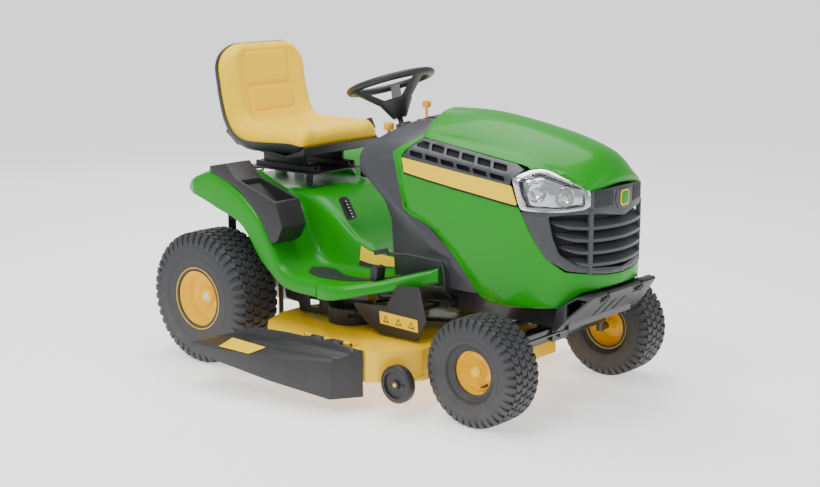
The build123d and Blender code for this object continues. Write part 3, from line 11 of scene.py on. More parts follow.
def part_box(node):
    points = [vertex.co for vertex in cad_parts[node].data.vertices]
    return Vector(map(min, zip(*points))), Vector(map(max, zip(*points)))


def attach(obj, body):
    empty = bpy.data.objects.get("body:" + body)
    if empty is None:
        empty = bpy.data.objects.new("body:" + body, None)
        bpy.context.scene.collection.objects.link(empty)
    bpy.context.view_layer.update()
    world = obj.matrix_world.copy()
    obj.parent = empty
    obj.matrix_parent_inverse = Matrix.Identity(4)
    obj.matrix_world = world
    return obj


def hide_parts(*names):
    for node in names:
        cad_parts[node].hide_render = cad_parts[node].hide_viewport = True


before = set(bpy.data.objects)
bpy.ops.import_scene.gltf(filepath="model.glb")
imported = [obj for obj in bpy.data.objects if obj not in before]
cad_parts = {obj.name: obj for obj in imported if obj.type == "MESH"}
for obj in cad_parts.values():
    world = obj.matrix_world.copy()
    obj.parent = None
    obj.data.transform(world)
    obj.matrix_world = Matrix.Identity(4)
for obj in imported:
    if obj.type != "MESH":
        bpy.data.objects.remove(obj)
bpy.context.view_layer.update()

# Riding lawn mower: the looks.  Lengths below are millimetres in the maker's frame: X forward from
# the rear axle, Y to the driver's left, Z up from the ground.  spot() turns them into row metres.

MM = 0.001
REAR_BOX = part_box("rear_tyre_right")
LEFT_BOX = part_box("rear_tyre_left")
ORIGIN = Vector(((REAR_BOX[0].x + REAR_BOX[1].x) / 2, (REAR_BOX[0].y + LEFT_BOX[1].y) / 2, 0))


def spot(x, y, z):
    """Maker's millimetres to row metres."""
    return Vector((x * MM + ORIGIN.x, y * MM + ORIGIN.y, z * MM))


# =============================================================================================
# materials
# =============================================================================================
def new_group(name, inputs, outputs):
    """Empty shader group with its sockets."""
    tree = bpy.data.node_groups.new(name, "ShaderNodeTree")
    for label, kind, value in inputs:
        socket = tree.interface.new_socket(label, in_out="INPUT", socket_type=kind)
        socket.default_value = value
    for label, kind in outputs:
        tree.interface.new_socket(label, in_out="OUTPUT", socket_type=kind)
    return tree, tree.nodes.new("NodeGroupInput"), tree.nodes.new("NodeGroupOutput")


def math_node(tree, operation, a, b=None):
    """One arithmetic node on sockets or numbers."""
    node = tree.nodes.new("ShaderNodeMath")
    node.operation = operation
    for index, value in enumerate((a, b)):
        if value is None:
            continue
        if isinstance(value, (int, float)):
            node.inputs[index].default_value = value
        else:
            tree.links.new(value, node.inputs[index])
    return node.outputs[0]


def tone_group():
    """Slow patches of a darker tone and of roughness."""
    tree, given, out = new_group(
        "patchy_tone",
        [("Color", "NodeSocketColor", (0.5, 0.5, 0.5, 1)), ("Dark", "NodeSocketColor", (0.4, 0.4, 0.4, 1)),
         ("Amount", "NodeSocketFloat", 0.3), ("Scale", "NodeSocketFloat", 6.0),
         ("Roughness", "NodeSocketFloat", 0.4), ("Spread", "NodeSocketFloat", 0.1)],
        [("Color", "NodeSocketColor"), ("Roughness", "NodeSocketFloat")])
    place = tree.nodes.new("ShaderNodeTexCoord")
    noise = tree.nodes.new("ShaderNodeTexNoise")
    noise.inputs["Detail"].default_value = 5
    tree.links.new(place.outputs["Object"], noise.inputs["Vector"])
    tree.links.new(given.outputs["Scale"], noise.inputs["Scale"])
    mix = tree.nodes.new("ShaderNodeMix")
    mix.data_type = "RGBA"
    tree.links.new(math_node(tree, "MULTIPLY", noise.outputs["Fac"], given.outputs["Amount"]),
                   mix.inputs["Factor"])
    tree.links.new(given.outputs["Color"], mix.inputs[6])
    tree.links.new(given.outputs["Dark"], mix.inputs[7])
    tree.links.new(mix.outputs[2], out.inputs["Color"])
    centred = math_node(tree, "SUBTRACT", noise.outputs["Fac"], 0.5)
    shift = math_node(tree, "MULTIPLY", centred, given.outputs["Spread"])
    tree.links.new(math_node(tree, "ADD", given.outputs["Roughness"], shift), out.inputs["Roughness"])
    return tree


def grain_group():
    """Moulded or sprayed grain: a height of fine noise with a few pits."""
    tree, given, out = new_group(
        "fine_grain",
        [("Scale", "NodeSocketFloat", 400.0), ("Pits", "NodeSocketFloat", 0.3)],
        [("Height", "NodeSocketFloat")])
    place = tree.nodes.new("ShaderNodeTexCoord")
    noise = tree.nodes.new("ShaderNodeTexNoise")
    noise.inputs["Detail"].default_value = 3
    cells = tree.nodes.new("ShaderNodeTexVoronoi")
    for node in (noise, cells):
        tree.links.new(place.outputs["Object"], node.inputs["Vector"])
        tree.links.new(given.outputs["Scale"], node.inputs["Scale"])
    pits = math_node(tree, "MULTIPLY", cells.outputs["Distance"], given.outputs["Pits"])
    tree.links.new(math_node(tree, "ADD", noise.outputs["Fac"], pits), out.inputs["Height"])
    return tree


def dust_group():
    """Road dust that thins out upwards from the ground."""
    tree, given, out = new_group(
        "low_dust",
        [("Color", "NodeSocketColor", (0.5, 0.5, 0.5, 1)), ("Dust", "NodeSocketColor", (0.33, 0.30, 0.26,
                1)),
         ("Top", "NodeSocketFloat", 0.35), ("Amount", "NodeSocketFloat", 0.2)],
        [("Color", "NodeSocketColor")])
    place = tree.nodes.new("ShaderNodeTexCoord")
    split = tree.nodes.new("ShaderNodeSeparateXYZ")
    tree.links.new(place.outputs["Object"], split.inputs[0])
    low = math_node(tree, "DIVIDE", split.outputs["Z"], given.outputs["Top"])
    low = math_node(tree, "SUBTRACT", 1.0, low)
    low.node.use_clamp = True
    noise = tree.nodes.new("ShaderNodeTexNoise")
    noise.inputs["Scale"].default_value = 22
    noise.inputs["Detail"].default_value = 6
    tree.links.new(place.outputs["Object"], noise.inputs["Vector"])
    mask = math_node(tree, "MULTIPLY", math_node(tree, "MULTIPLY", low, noise.outputs["Fac"]),
                     given.outputs["Amount"])
    mix = tree.nodes.new("ShaderNodeMix")
    mix.data_type = "RGBA"
    tree.links.new(mask, mix.inputs["Factor"])
    tree.links.new(given.outputs["Color"], mix.inputs[6])
    tree.links.new(given.outputs["Dust"], mix.inputs[7])
    tree.links.new(mix.outputs[2], out.inputs["Color"])
    return tree


TONE = tone_group()
GRAIN = grain_group()
DUST = dust_group()


def finish(name, color, rough, metallic=0.0, dark=None, amount=0.35, scale=5.0, spread=0.12, grain=450.0,
           height=0.05, pits=0.3, coat=0.0, dust=0.0, sheen=0.0, alpha=None, transmission=0.0,
           specular=0.5):
    """A material of one finish: base tone, patches, grain and, low down, some dust."""
    material = bpy.data.materials.new(name)
    material.use_nodes = True
    tree = material.node_tree
    shader = tree.nodes["Principled BSDF"]
    tone = tree.nodes.new("ShaderNodeGroup")
    tone.node_tree = TONE
    dark = dark or tuple(c * 0.72 for c in color)
    tone.inputs["Color"].default_value = (*color, 1)
    tone.inputs["Dark"].default_value = (*dark, 1)
    tone.inputs["Amount"].default_value = amount
    tone.inputs["Scale"].default_value = scale
    tone.inputs["Roughness"].default_value = rough
    tone.inputs["Spread"].default_value = spread
    base = tone.outputs["Color"]
    if dust:
        low = tree.nodes.new("ShaderNodeGroup")
        low.node_tree = DUST
        low.inputs["Amount"].default_value = dust
        tree.links.new(base, low.inputs["Color"])
        base = low.outputs["Color"]
    tree.links.new(base, shader.inputs["Base Color"])
    tree.links.new(tone.outputs["Roughness"], shader.inputs["Roughness"])
    shader.inputs["Metallic"].default_value = metallic
    shader.inputs["Coat Weight"].default_value = coat
    shader.inputs["Coat Roughness"].default_value = 0.06
    shader.inputs["Specular IOR Level"].default_value = specular
    shader.inputs["Sheen Weight"].default_value = sheen
    shader.inputs["Transmission Weight"].default_value = transmission
    if alpha is not None:
        shader.inputs["Alpha"].default_value = alpha
    if height:
        texture = tree.nodes.new("ShaderNodeGroup")
        texture.node_tree = GRAIN
        texture.inputs["Scale"].default_value = grain
        texture.inputs["Pits"].default_value = pits
        bump = tree.nodes.new("ShaderNodeBump")
        bump.inputs["Strength"].default_value = height
        bump.inputs["Distance"].default_value = 0.001
        tree.links.new(texture.outputs["Height"], bump.inputs["Height"])
        tree.links.new(bump.outputs["Normal"], shader.inputs["Normal"])
    return material


GREEN = finish("green_enamel", (0.003, 0.27, 0.002), 0.36, dark=(0.004, 0.23, 0.003), coat=0.2,
               height=0.015,
               grain=160, amount=0.3, scale=2.5, spread=0.06, specular=0.2)
YELLOW = finish("yellow_enamel", (1.0, 0.60, 0.0), 0.34, dark=(0.94, 0.52, 0.0), coat=0.3, height=0.02,
                grain=220, dust=0.03, scale=4, specular=0.3)
VINYL = finish("yellow_vinyl", (1.0, 0.64, 0.0), 0.5, dark=(0.96, 0.57, 0.0), height=0.25, grain=900,
               pits=0.8, amount=0.3, specular=0.25)
DECAL = finish("yellow_decal", (1.0, 0.66, 0.0), 0.4, height=0.01, amount=0.15, specular=0.25)
BLACK = finish("black_moulding", (0.014, 0.014, 0.016), 0.46, dark=(0.026, 0.026, 0.029), height=0.22,
               grain=1100,
               pits=0.7, amount=0.5, scale=7, dust=0.06)
SATIN = finish("satin_panel", (0.035, 0.036, 0.042), 0.38, dark=(0.05, 0.05, 0.057), height=0.15,
               grain=1300,
               pits=0.6, amount=0.5, scale=4)
STEEL_BLACK = finish("black_enamel_steel", (0.016, 0.016, 0.017), 0.32, dark=(0.032, 0.03, 0.028), coat=0.3,
                     height=0.03, grain=260, amount=0.5, dust=0.2)
RUBBER = finish("tyre_rubber", (0.026, 0.027, 0.031), 0.62, dark=(0.05, 0.05, 0.054), height=0.3, grain=700,
                pits=0.4, amount=0.5, scale=9, dust=0.22)
BELT = finish("belt_rubber", (0.012, 0.012, 0.012), 0.7, height=0.3, grain=900)
CAST = finish("cast_alloy", (0.42, 0.43, 0.44), 0.48, metallic=0.85, height=0.35, grain=500, amount=0.6,
              dust=0.5)
BRIGHT = finish("zinc_plate", (0.62, 0.62, 0.6), 0.3, metallic=1.0, dark=(0.5, 0.49, 0.46), height=0.05,
                amount=0.6, scale=14)
CHROME = finish("lamp_chrome", (0.82, 0.83, 0.86), 0.09, metallic=1.0, dark=(0.55, 0.56, 0.6), height=0.0,
                amount=0.3)
CLEAR = finish("clear_lens", (0.10, 0.11, 0.12), 0.04, height=0.0, amount=0.02, spread=0.01, alpha=0.10,
               specular=0.8, coat=0.6)
SMOKE = finish("key_plastic", (0.5, 0.52, 0.55), 0.2, height=0.02, alpha=0.75)
TANK = finish("natural_tank", (0.75, 0.75, 0.7), 0.5, height=0.1)
ORANGE = finish("orange_knob", (0.95, 0.36, 0.005), 0.3, height=0.05, amount=0.2)
AMBER = finish("yellow_knob", (0.97, 0.55, 0.01), 0.3, height=0.05, amount=0.2)
# Painted shade: near-black sheets in the hollows behind the vent cells, the grille and the gauge slot, and
# the stripe's shadow band.
PAINTED_SHADE = finish("deep_black", (0.004, 0.004, 0.005), 0.8, height=0.1, amount=0.2)


# =============================================================================================
# mesh helpers
# =============================================================================================
def smooth_by_angle(mesh, degrees):
    mesh.shade_smooth()
    mesh.set_sharp_from_angle(angle=math.radians(degrees))


def settle(obj):
    """Turn an object's modifiers into plain mesh."""
    bpy.context.view_layer.update()
    graph = bpy.context.evaluated_depsgraph_get()
    mesh = bpy.data.meshes.new_from_object(obj.evaluated_get(graph), depsgraph=graph)
    obj.modifiers.clear()
    obj.data = mesh
    return obj


def make(name, points, faces, material, angle=40):
    """Object from row-frame points."""
    mesh = bpy.data.meshes.new(name)
    mesh.from_pydata([tuple(p) for p in points], [], faces)
    mesh.validate()
    mesh.materials.append(material)
    obj = bpy.data.objects.new(name, mesh)
    bpy.context.scene.collection.objects.link(obj)
    tidy = bmesh.new()
    tidy.from_mesh(mesh)
    bmesh.ops.remove_doubles(tidy, verts=tidy.verts, dist=1e-5)
    bmesh.ops.recalc_face_normals(tidy, faces=tidy.faces)
    tidy.to_mesh(mesh)
    tidy.free()
    smooth_by_angle(mesh, angle)
    return obj


def thicken(obj, wall, rim=0.8, angle=40, inward=True):
    """Give a sheet a wall and soft edges."""
    shell = obj.modifiers.new("wall", "SOLIDIFY")
    shell.thickness = wall * MM
    shell.offset = -1 if inward else 1
    if rim:
        edge = obj.modifiers.new("edge", "BEVEL")
        edge.width = rim * MM
        edge.segments = 2
        edge.limit_method = "ANGLE"
        edge.angle_limit = math.radians(50)
    settle(obj)
    smooth_by_angle(obj.data, angle)
    return obj


def ride(obj, body, slot, *replaced):
    """Tie a piece to its body, and hide the CAD nodes it stands for; the slot is not used."""
    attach(obj, body)
    if replaced:
        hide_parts(*replaced)
    return obj


def refine(node, material, body, slot, bevel=0.0, segments=2, angle=32):
    """Stand-in for a CAD node: the same shape, merged, with soft edges and smooth curves."""
    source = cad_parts[node]
    mesh = source.data.copy()
    mesh.name = node + "_finished"
    mesh.materials.clear()
    mesh.materials.append(material)
    work = bmesh.new()
    work.from_mesh(mesh)
    bmesh.ops.remove_doubles(work, verts=work.verts, dist=2e-6)
    bmesh.ops.dissolve_limit(work, angle_limit=math.radians(1.0), verts=work.verts, edges=work.edges)
    work.to_mesh(mesh)
    work.free()
    obj = bpy.data.objects.new(mesh.name, mesh)
    bpy.context.scene.collection.objects.link(obj)
    if bevel:
        edge = obj.modifiers.new("edge", "BEVEL")
        edge.width = bevel * MM
        edge.segments = segments
        edge.limit_method = "ANGLE"
        edge.angle_limit = math.radians(angle)
        settle(obj)
    smooth_by_angle(obj.data, angle)
    return ride(obj, body, slot, node)


def spline(points, steps):
    """Smooth line through points, Catmull-Rom, any dimension."""
    out = []
    last = len(points) - 1
    for i in range(last):
        a = points[max(i - 1, 0)]
        b = points[i]
        c = points[i + 1]
        d = points[min(i + 2, last)]
        for k in range(steps):
            t = k / steps
            out.append(tuple(
                0.5 * (2 * q + (r - p) * t + (2 * p - 5 * q + 4 * r - s) * t * t
                        + (3 * q - p - 3 * r + s) * t ** 3)
                for p, q, r, s in zip(a, b, c, d)))
    out.append(tuple(points[-1]))
    return out


def table(points):
    """Smooth y(x) from a list of points with rising x."""
    line = spline(points, 12)
    xs = [p[0] for p in line]

    def value(x):
        if x <= xs[0]:
            return line[0][1]
        if x >= xs[-1]:
            return line[-1][1]
        i = bisect_right(xs, x) - 1
        a, b = line[i], line[min(i + 1, len(line) - 1)]
        if b[0] - a[0] < 1e-9:
            return a[1]
        return a[1] + (b[1] - a[1]) * (x - a[0]) / (b[0] - a[0])
    return value


def rounded(points, radius, steps=5):
    """Closed outline with each corner turned into an arc-like curve."""
    out = []
    count = len(points)
    for i in range(count):
        before = Vector(points[i - 1])
        corner = Vector(points[i])
        after = Vector(points[(i + 1) % count])
        reach = min(radius, (before - corner).length * 0.45, (after - corner).length * 0.45)
        start = corner + (before - corner).normalized() * reach
        end = corner + (after - corner).normalized() * reach
        for k in range(steps + 1):
            t = k / steps
            out.append(tuple(start * (1 - t) ** 2 + corner * 2 * t * (1 - t) + end * t * t))
    return out


def stepped(edge, spacing):
    """Closed outline with its long sides cut into steps of about the spacing."""
    dense = []
    for a, b in zip(edge, edge[1:] + edge[:1]):
        parts = max(1, int(math.dist(a, b) / spacing))
        dense.extend((a[0] + (b[0] - a[0]) * k / parts, a[1] + (b[1] - a[1]) * k / parts)
                     for k in range(parts))
    return dense


def inside(point, outline):
    x, y = point
    hit = False
    for i in range(len(outline)):
        (ax, ay), (bx, by) = outline[i - 1], outline[i]
        if (ay > y) != (by > y) and x < (bx - ax) * (y - ay) / (by - ay) + ax:
            hit = not hit
    return hit


def edge_distance(point, line):
    """Distance from a point to an open polyline."""
    p = Vector(point)
    best = 1e9
    for a, b in zip(line, line[1:]):
        a, b = Vector(a), Vector(b)
        d = b - a
        t = max(0.0, min(1.0, (p - a).dot(d) / max(d.length_squared, 1e-9)))
        best = min(best, (p - a - d * t).length)
    return best


def flat_patch(outline, holes, spacing):
    """Triangles over a flat outline with holes; returns 2-D points and faces."""
    points = [Vector(p) for p in outline]
    edges = [(i, (i + 1) % len(points)) for i in range(len(points))]
    for hole in holes:
        start = len(points)
        points.extend(Vector(p) for p in hole)
        edges.extend((start + i, start + (i + 1) % len(hole)) for i in range(len(hole)))
    xs = [p[0] for p in outline]
    ys = [p[1] for p in outline]
    nx = int((max(xs) - min(xs)) / spacing) + 1
    ny = int((max(ys) - min(ys)) / spacing) + 1
    rims = [list(outline) + [outline[0]]] + [list(h) + [h[0]] for h in holes]
    for i in range(nx + 1):
        for j in range(ny + 1):
            p = (min(xs) + (i + 0.5 * (j % 2)) * spacing, min(ys) + j * spacing)
            if not inside(p, outline) or any(inside(p, h) for h in holes):
                continue
            if min(edge_distance(p, rim) for rim in rims) > spacing * 0.45:
                points.append(Vector(p))
    result = delaunay_2d_cdt(points, edges, [], 0, 1e-4)
    flat, faces = result[0], result[2]
    kept = []
    for face in faces:
        centre = sum((flat[i] for i in face), Vector((0, 0))) / len(face)
        if inside(centre, outline) and not any(inside(centre, h) for h in holes):
            kept.append(face)
    return flat, kept


def loft(name, sections, material, angle=35):
    """Skin over a row of sections."""
    points = [p for section in sections for p in section]
    n = len(sections[0])
    faces = []
    for i in range(len(sections) - 1):
        for j in range(n - 1):
            a = i * n + j
            faces.append((a, a + 1, a + n + 1, a + n))
    obj = make(name, points, faces, material, angle)
    if sum(p.normal.z * p.area for p in obj.data.polygons) < 0:
        obj.data.flip_normals()
    return obj


# =============================================================================================
# repeated parts by geometry nodes
# =============================================================================================
def ring_tree():
    """Copies of a block set round a wheel: one row, even spacing, turned to face outwards."""
    tree = bpy.data.node_groups.new("row_round_wheel", "GeometryNodeTree")
    face = tree.interface
    face.new_socket("Geometry", in_out="INPUT", socket_type="NodeSocketGeometry")
    for label, kind, value in (("Count", "NodeSocketInt", 40), ("Radius", "NodeSocketFloat", 0.2),
                               ("Phase", "NodeSocketFloat", 0.0), ("Across", "NodeSocketFloat", 0.0),
                               ("Tip", "NodeSocketFloat", 0.0)):
        face.new_socket(label, in_out="INPUT", socket_type=kind).default_value = value
    face.new_socket("Block", in_out="INPUT", socket_type="NodeSocketObject")
    face.new_socket("Material", in_out="INPUT", socket_type="NodeSocketMaterial")
    face.new_socket("Geometry", in_out="OUTPUT", socket_type="NodeSocketGeometry")
    nodes, link = tree.nodes, tree.links.new
    given, out = nodes.new("NodeGroupInput"), nodes.new("NodeGroupOutput")
    points = nodes.new("GeometryNodePoints")
    link(given.outputs["Count"], points.inputs["Count"])
    index = nodes.new("GeometryNodeInputIndex")
    turn = math_node(tree, "DIVIDE", index.outputs[0], given.outputs["Count"])
    turn = math_node(tree, "ADD", turn, given.outputs["Phase"])
    turn = math_node(tree, "MULTIPLY", turn, 2 * math.pi)
    where = nodes.new("ShaderNodeCombineXYZ")
    link(math_node(tree, "MULTIPLY", math_node(tree, "SINE", turn), given.outputs["Radius"]),
         where.inputs[0])
    link(given.outputs["Across"], where.inputs[1])
    link(math_node(tree, "MULTIPLY", math_node(tree, "COSINE", turn), given.outputs["Radius"]),
         where.inputs[2])
    link(where.outputs[0], points.inputs["Position"])
    heading = nodes.new("ShaderNodeCombineXYZ")
    link(given.outputs["Tip"], heading.inputs[0])
    link(turn, heading.inputs[1])
    block = nodes.new("GeometryNodeObjectInfo")
    link(given.outputs["Block"], block.inputs["Object"])
    copies = nodes.new("GeometryNodeInstanceOnPoints")
    link(points.outputs[0], copies.inputs["Points"])
    link(block.outputs["Geometry"], copies.inputs["Instance"])
    link(heading.outputs[0], copies.inputs["Rotation"])
    real = nodes.new("GeometryNodeRealizeInstances")
    link(copies.outputs[0], real.inputs[0])
    paint = nodes.new("GeometryNodeSetMaterial")
    link(real.outputs[0], paint.inputs["Geometry"])
    link(given.outputs["Material"], paint.inputs["Material"])
    link(paint.outputs[0], out.inputs[0])
    return tree


RING = ring_tree()


def line_tree():
    """Copies of a block at the vertices of a guide mesh, each turned by the guide's turn attribute."""
    tree = bpy.data.node_groups.new("blocks_on_guide", "GeometryNodeTree")
    face = tree.interface
    face.new_socket("Geometry", in_out="INPUT", socket_type="NodeSocketGeometry")
    face.new_socket("Block", in_out="INPUT", socket_type="NodeSocketObject")
    face.new_socket("Material", in_out="INPUT", socket_type="NodeSocketMaterial")
    face.new_socket("Size", in_out="INPUT", socket_type="NodeSocketFloat").default_value = 1.0
    face.new_socket("Geometry", in_out="OUTPUT", socket_type="NodeSocketGeometry")
    nodes, link = tree.nodes, tree.links.new
    given, out = nodes.new("NodeGroupInput"), nodes.new("NodeGroupOutput")
    turn = nodes.new("GeometryNodeInputNamedAttribute")
    turn.data_type = "FLOAT_VECTOR"
    turn.inputs["Name"].default_value = "turn"
    block = nodes.new("GeometryNodeObjectInfo")
    link(given.outputs["Block"], block.inputs["Object"])
    points = nodes.new("GeometryNodeMeshToPoints")
    link(given.outputs["Geometry"], points.inputs["Mesh"])
    copies = nodes.new("GeometryNodeInstanceOnPoints")
    link(points.outputs[0], copies.inputs["Points"])
    link(block.outputs["Geometry"], copies.inputs["Instance"])
    link(turn.outputs[0], copies.inputs["Rotation"])
    link(given.outputs["Size"], copies.inputs["Scale"])
    real = nodes.new("GeometryNodeRealizeInstances")
    link(copies.outputs[0], real.inputs[0])
    paint = nodes.new("GeometryNodeSetMaterial")
    link(real.outputs[0], paint.inputs["Geometry"])
    link(given.outputs["Material"], paint.inputs["Material"])
    link(paint.outputs[0], out.inputs[0])
    return tree


ON_GUIDE = line_tree()


def grow(name, tree, **values):
    """Object made by a geometry tree, as plain mesh."""
    guide = values.pop("guide", None)
    mesh = guide or bpy.data.meshes.new(name)
    obj = bpy.data.objects.new(name, mesh)
    bpy.context.scene.collection.objects.link(obj)
    maker = obj.modifiers.new("maker", "NODES")
    maker.node_group = tree
    for item in tree.interface.items_tree:
        if item.in_out == "INPUT" and item.name in values:
            maker[item.identifier] = values[item.name]
    return settle(obj)


def block_object(name, points, faces):
    """Small loose block at the origin, used by the trees and then removed."""
    mesh = bpy.data.meshes.new(name)
    mesh.from_pydata(points, [], faces)
    obj = bpy.data.objects.new(name, mesh)
    bpy.context.scene.collection.objects.link(obj)
    tidy = bmesh.new()
    tidy.from_mesh(mesh)
    bmesh.ops.recalc_face_normals(tidy, faces=tidy.faces)
    tidy.to_mesh(mesh)
    tidy.free()
    return obj


def drop(obj):
    """Remove a helper object."""
    bpy.data.objects.remove(obj)


def join(name, objects):
    """One object from several plain meshes at the origin."""
    work = bmesh.new()
    slots = []
    for obj in objects:
        start = len(work.faces)
        work.from_mesh(obj.data)
        work.faces.ensure_lookup_table()
        local = [m for m in obj.data.materials]
        for face in work.faces[start:]:
            material = local[min(face.material_index, len(local) - 1)]
            if material not in slots:
                slots.append(material)
            face.material_index = slots.index(material)
    mesh = bpy.data.meshes.new(name)
    work.to_mesh(mesh)
    work.free()
    for material in slots:
        mesh.materials.append(material)
    for obj in list(objects):
        drop(obj)
    joined = bpy.data.objects.new(name, mesh)
    bpy.context.scene.collection.objects.link(joined)
    return joined


def shift(obj, matrix):
    """Move a mesh by a matrix."""
    obj.data.transform(matrix)
    return obj


# =============================================================================================
# tyres
# =============================================================================================
def lathe(profile, segments, centre, material, name):
    """Profile of (radius, across) turned about the wheel's axis."""
    points, faces = [], []
    count = len(profile)
    for k in range(segments):
        a = 2 * math.pi * k / segments
        for r, y in profile:
            points.append(Vector((r * math.sin(a), y, r * math.cos(a))) * MM + centre)
    for k in range(segments):
        n = (k + 1) % segments
        for i in range(count):
            j = (i + 1) % count
            faces.append((k * count + i, k * count + j, n * count + j, n * count + i))
    return make(name, points, faces, material, angle=35)


def wavy_block(length, width, height, wave):
    """Tread block, longer across the tyre than round it, with a wave in its long sides."""
    steps = 4
    points = []
    for level, shrink in ((-height * 0.5, 1.0), (height * 0.82, 0.95), (height, 0.86)):
        for side in (-1, 1):
            for k in range(steps + 1):
                y = (k / steps - 0.5) * width * shrink
                x = side * length / 2 * shrink + wave * math.cos(math.pi * 2 * (k / steps - 0.5))
                points.append((x * MM, y * MM, level * MM))
    n = steps + 1
    faces = []
    for layer in range(2):
        base = layer * 2 * n
        top = base + 2 * n
        for k in range(steps):
            faces.append((base + k, base + k + 1, top + k + 1, top + k))
            faces.append((base + n + k, base + n + k + 1, top + n + k + 1, top + n + k))
        faces.append((base, base + n, top + n, top))
        faces.append((base + steps, base + n + steps, top + n + steps, top + steps))
    top = 4 * n
    for k in range(steps):
        faces.append((top + k, top + k + 1, top + n + k + 1, top + n + k))
        faces.append((k, k + 1, n + k + 1, n + k))
    return points, faces


def shoulder_lug(length, drop_to, across, thick):
    """Lug that wraps over the tyre's shoulder."""
    path = [(0, 0), (-0.16 * drop_to, 0.45 * across), (-0.5 * drop_to, 0.85 * across), (-drop_to, across)]
    points = []
    for z, y in path:
        for x in (-length / 2, length / 2):
            points.append((x * MM, y * MM, z * MM))
            points.append((x * 0.82 * MM, (y + thick * 0.35) * MM, (z + thick) * MM))
    faces = []
    for k in range(len(path) - 1):
        a = 4 * k
        b = a + 4
        faces.extend([(a, a + 1, b + 1, b), (a + 1, a + 3, b + 3, b + 1), (a + 3, a + 2, b + 2, b + 3),
                      (a + 2, a, b, b + 2)])
    faces.append((0, 2, 3, 1))
    end = 4 * (len(path) - 1)
    faces.append((end, end + 1, end + 3, end + 2))
    return points, faces


def tyre(node, body, count):
    """Smooth carcass with sidewall ridges, four rows of wavy blocks and shoulder lugs."""
    low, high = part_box(node)
    centre = (low + high) / 2
    radius = (high.z - low.z) / 2 / MM
    half = (high.y - low.y) / 2 / MM
    flange = 119.0 if radius > 200 else 89.0
    face = 95.0 if radius > 200 else 54.0
    seat = flange - 15
    depth = 7.0 if radius > 200 else 5.5
    crown = radius - depth
    side = [(seat, face - 2), (flange - 3, face - 3), (flange + 4, face - 1), (flange + 12, half - 3),
            (flange + 0.30 * (radius - flange), half - 0.6), (flange + 0.48 * (radius - flange), half),
            (flange + 0.62 * (radius - flange), half - 1.2), (radius - 0.25 * (radius - flange), half - 6),
            (radius - 0.13 * (radius - flange), half - 14), (crown - 5, half - 26), (crown - 1.5,
                    half * 0.58),
            (crown, half * 0.3), (crown + 0.3, 0)]
    half_line = spline(side, 4)
    profile = half_line + [(r, -y) for r, y in reversed(half_line[:-1])]
    back = [(seat, -face + 12), (flange + 8, -half + 14), (radius - 30, -half + 16), (crown - 14, 0),
            (radius - 30, half - 16), (flange + 8, half - 14), (seat, face - 12)]
    carcass = lathe(profile + back, 96, centre, RUBBER, node + "_body")
    block_width = half * 2 * 0.18
    pitch = 2 * math.pi * radius / count
    pieces = [carcass]
    block = block_object("block", *wavy_block(pitch * 0.74, block_width, depth, pitch * 0.12))
    rows = [-1.5, -0.5, 0.5, 1.5]
    for index, row in enumerate(rows):
        across = row * block_width * 1.1
        sag = 0.0 if abs(row) < 1 else 1.0
        ring = grow("row", RING, Count=count, Radius=(crown - sag) * MM, Phase=(index % 2) * 0.5 / count,
                    Across=across * MM, Block=block, Material=RUBBER)
        pieces.append(shift(ring, Matrix.Translation(centre)))
    drop(block)
    edge_in = block_width * 1.1 * 2
    lug = block_object("lug", *shoulder_lug(pitch * 0.62, 0.26 * (radius - flange) + 8,
                                            half - edge_in - 1.5, depth * 0.9))
    for sign in (1, -1):
        ring = grow("lugs", RING, Count=count, Radius=(crown - 1.5) * MM, Phase=0.25 / count,
                    Across=edge_in * MM,
                    Block=lug, Material=RUBBER)
        if sign < 0:
            shift(ring, Matrix.Scale(-1, 4, (0, 1, 0)))
            ring.data.flip_normals()
        pieces.append(shift(ring, Matrix.Translation(centre)))
    drop(lug)
    for bead in (0.30, 0.66):
        r = flange + bead * (radius - flange)
        y = half - (0.4 if bead < 0.5 else 2.2)
        for sign in (1, -1):
            ridge = [(r - 2.2, sign * (y - 2)), (r - 1, sign * (y + 0.5)), (r + 1, sign * (y + 0.5)),
                     (r + 2.2, sign * (y - 2))]
            pieces.append(lathe(ridge, 96, centre, RUBBER, "ridge"))
    whole = join(node + "_tread", pieces)
    smooth_by_angle(whole.data, 30)
    return ride(whole, body, "tyre_rubber", node)


REAR_COUNT = 44
FRONT_COUNT = 38
tyre("rear_tyre_right", "wheel_rr", REAR_COUNT)
tyre("rear_tyre_left", "wheel_rl", REAR_COUNT)
tyre("front_tyre_right", "wheel_fr", FRONT_COUNT)
tyre("front_tyre_left", "wheel_fl", FRONT_COUNT)


# =============================================================================================
# rims
# =============================================================================================
def rim_shape(flange, half, face, hub, bore):
    """Closed profile of a pressed rim, radius and place across, outer face towards plus."""
    outer = [(flange - 1, half + 4), (flange + 1.5, half + 2), (flange, half - 0.5), (flange - 9, half - 1),
             (flange - 14, half - 8), (flange - 17, half - 24), (flange - 24, half - 34), (flange - 28,
                     face + 12),
             (flange - 34, face - 2), (flange * 0.55, face - 13), (flange * 0.5, face - 12),
             (hub + 12, face - 12), (hub + 5, face - 9), (hub, face + 9), (hub - 3, face + 11), (bore,
                     face + 11)]
    return outer


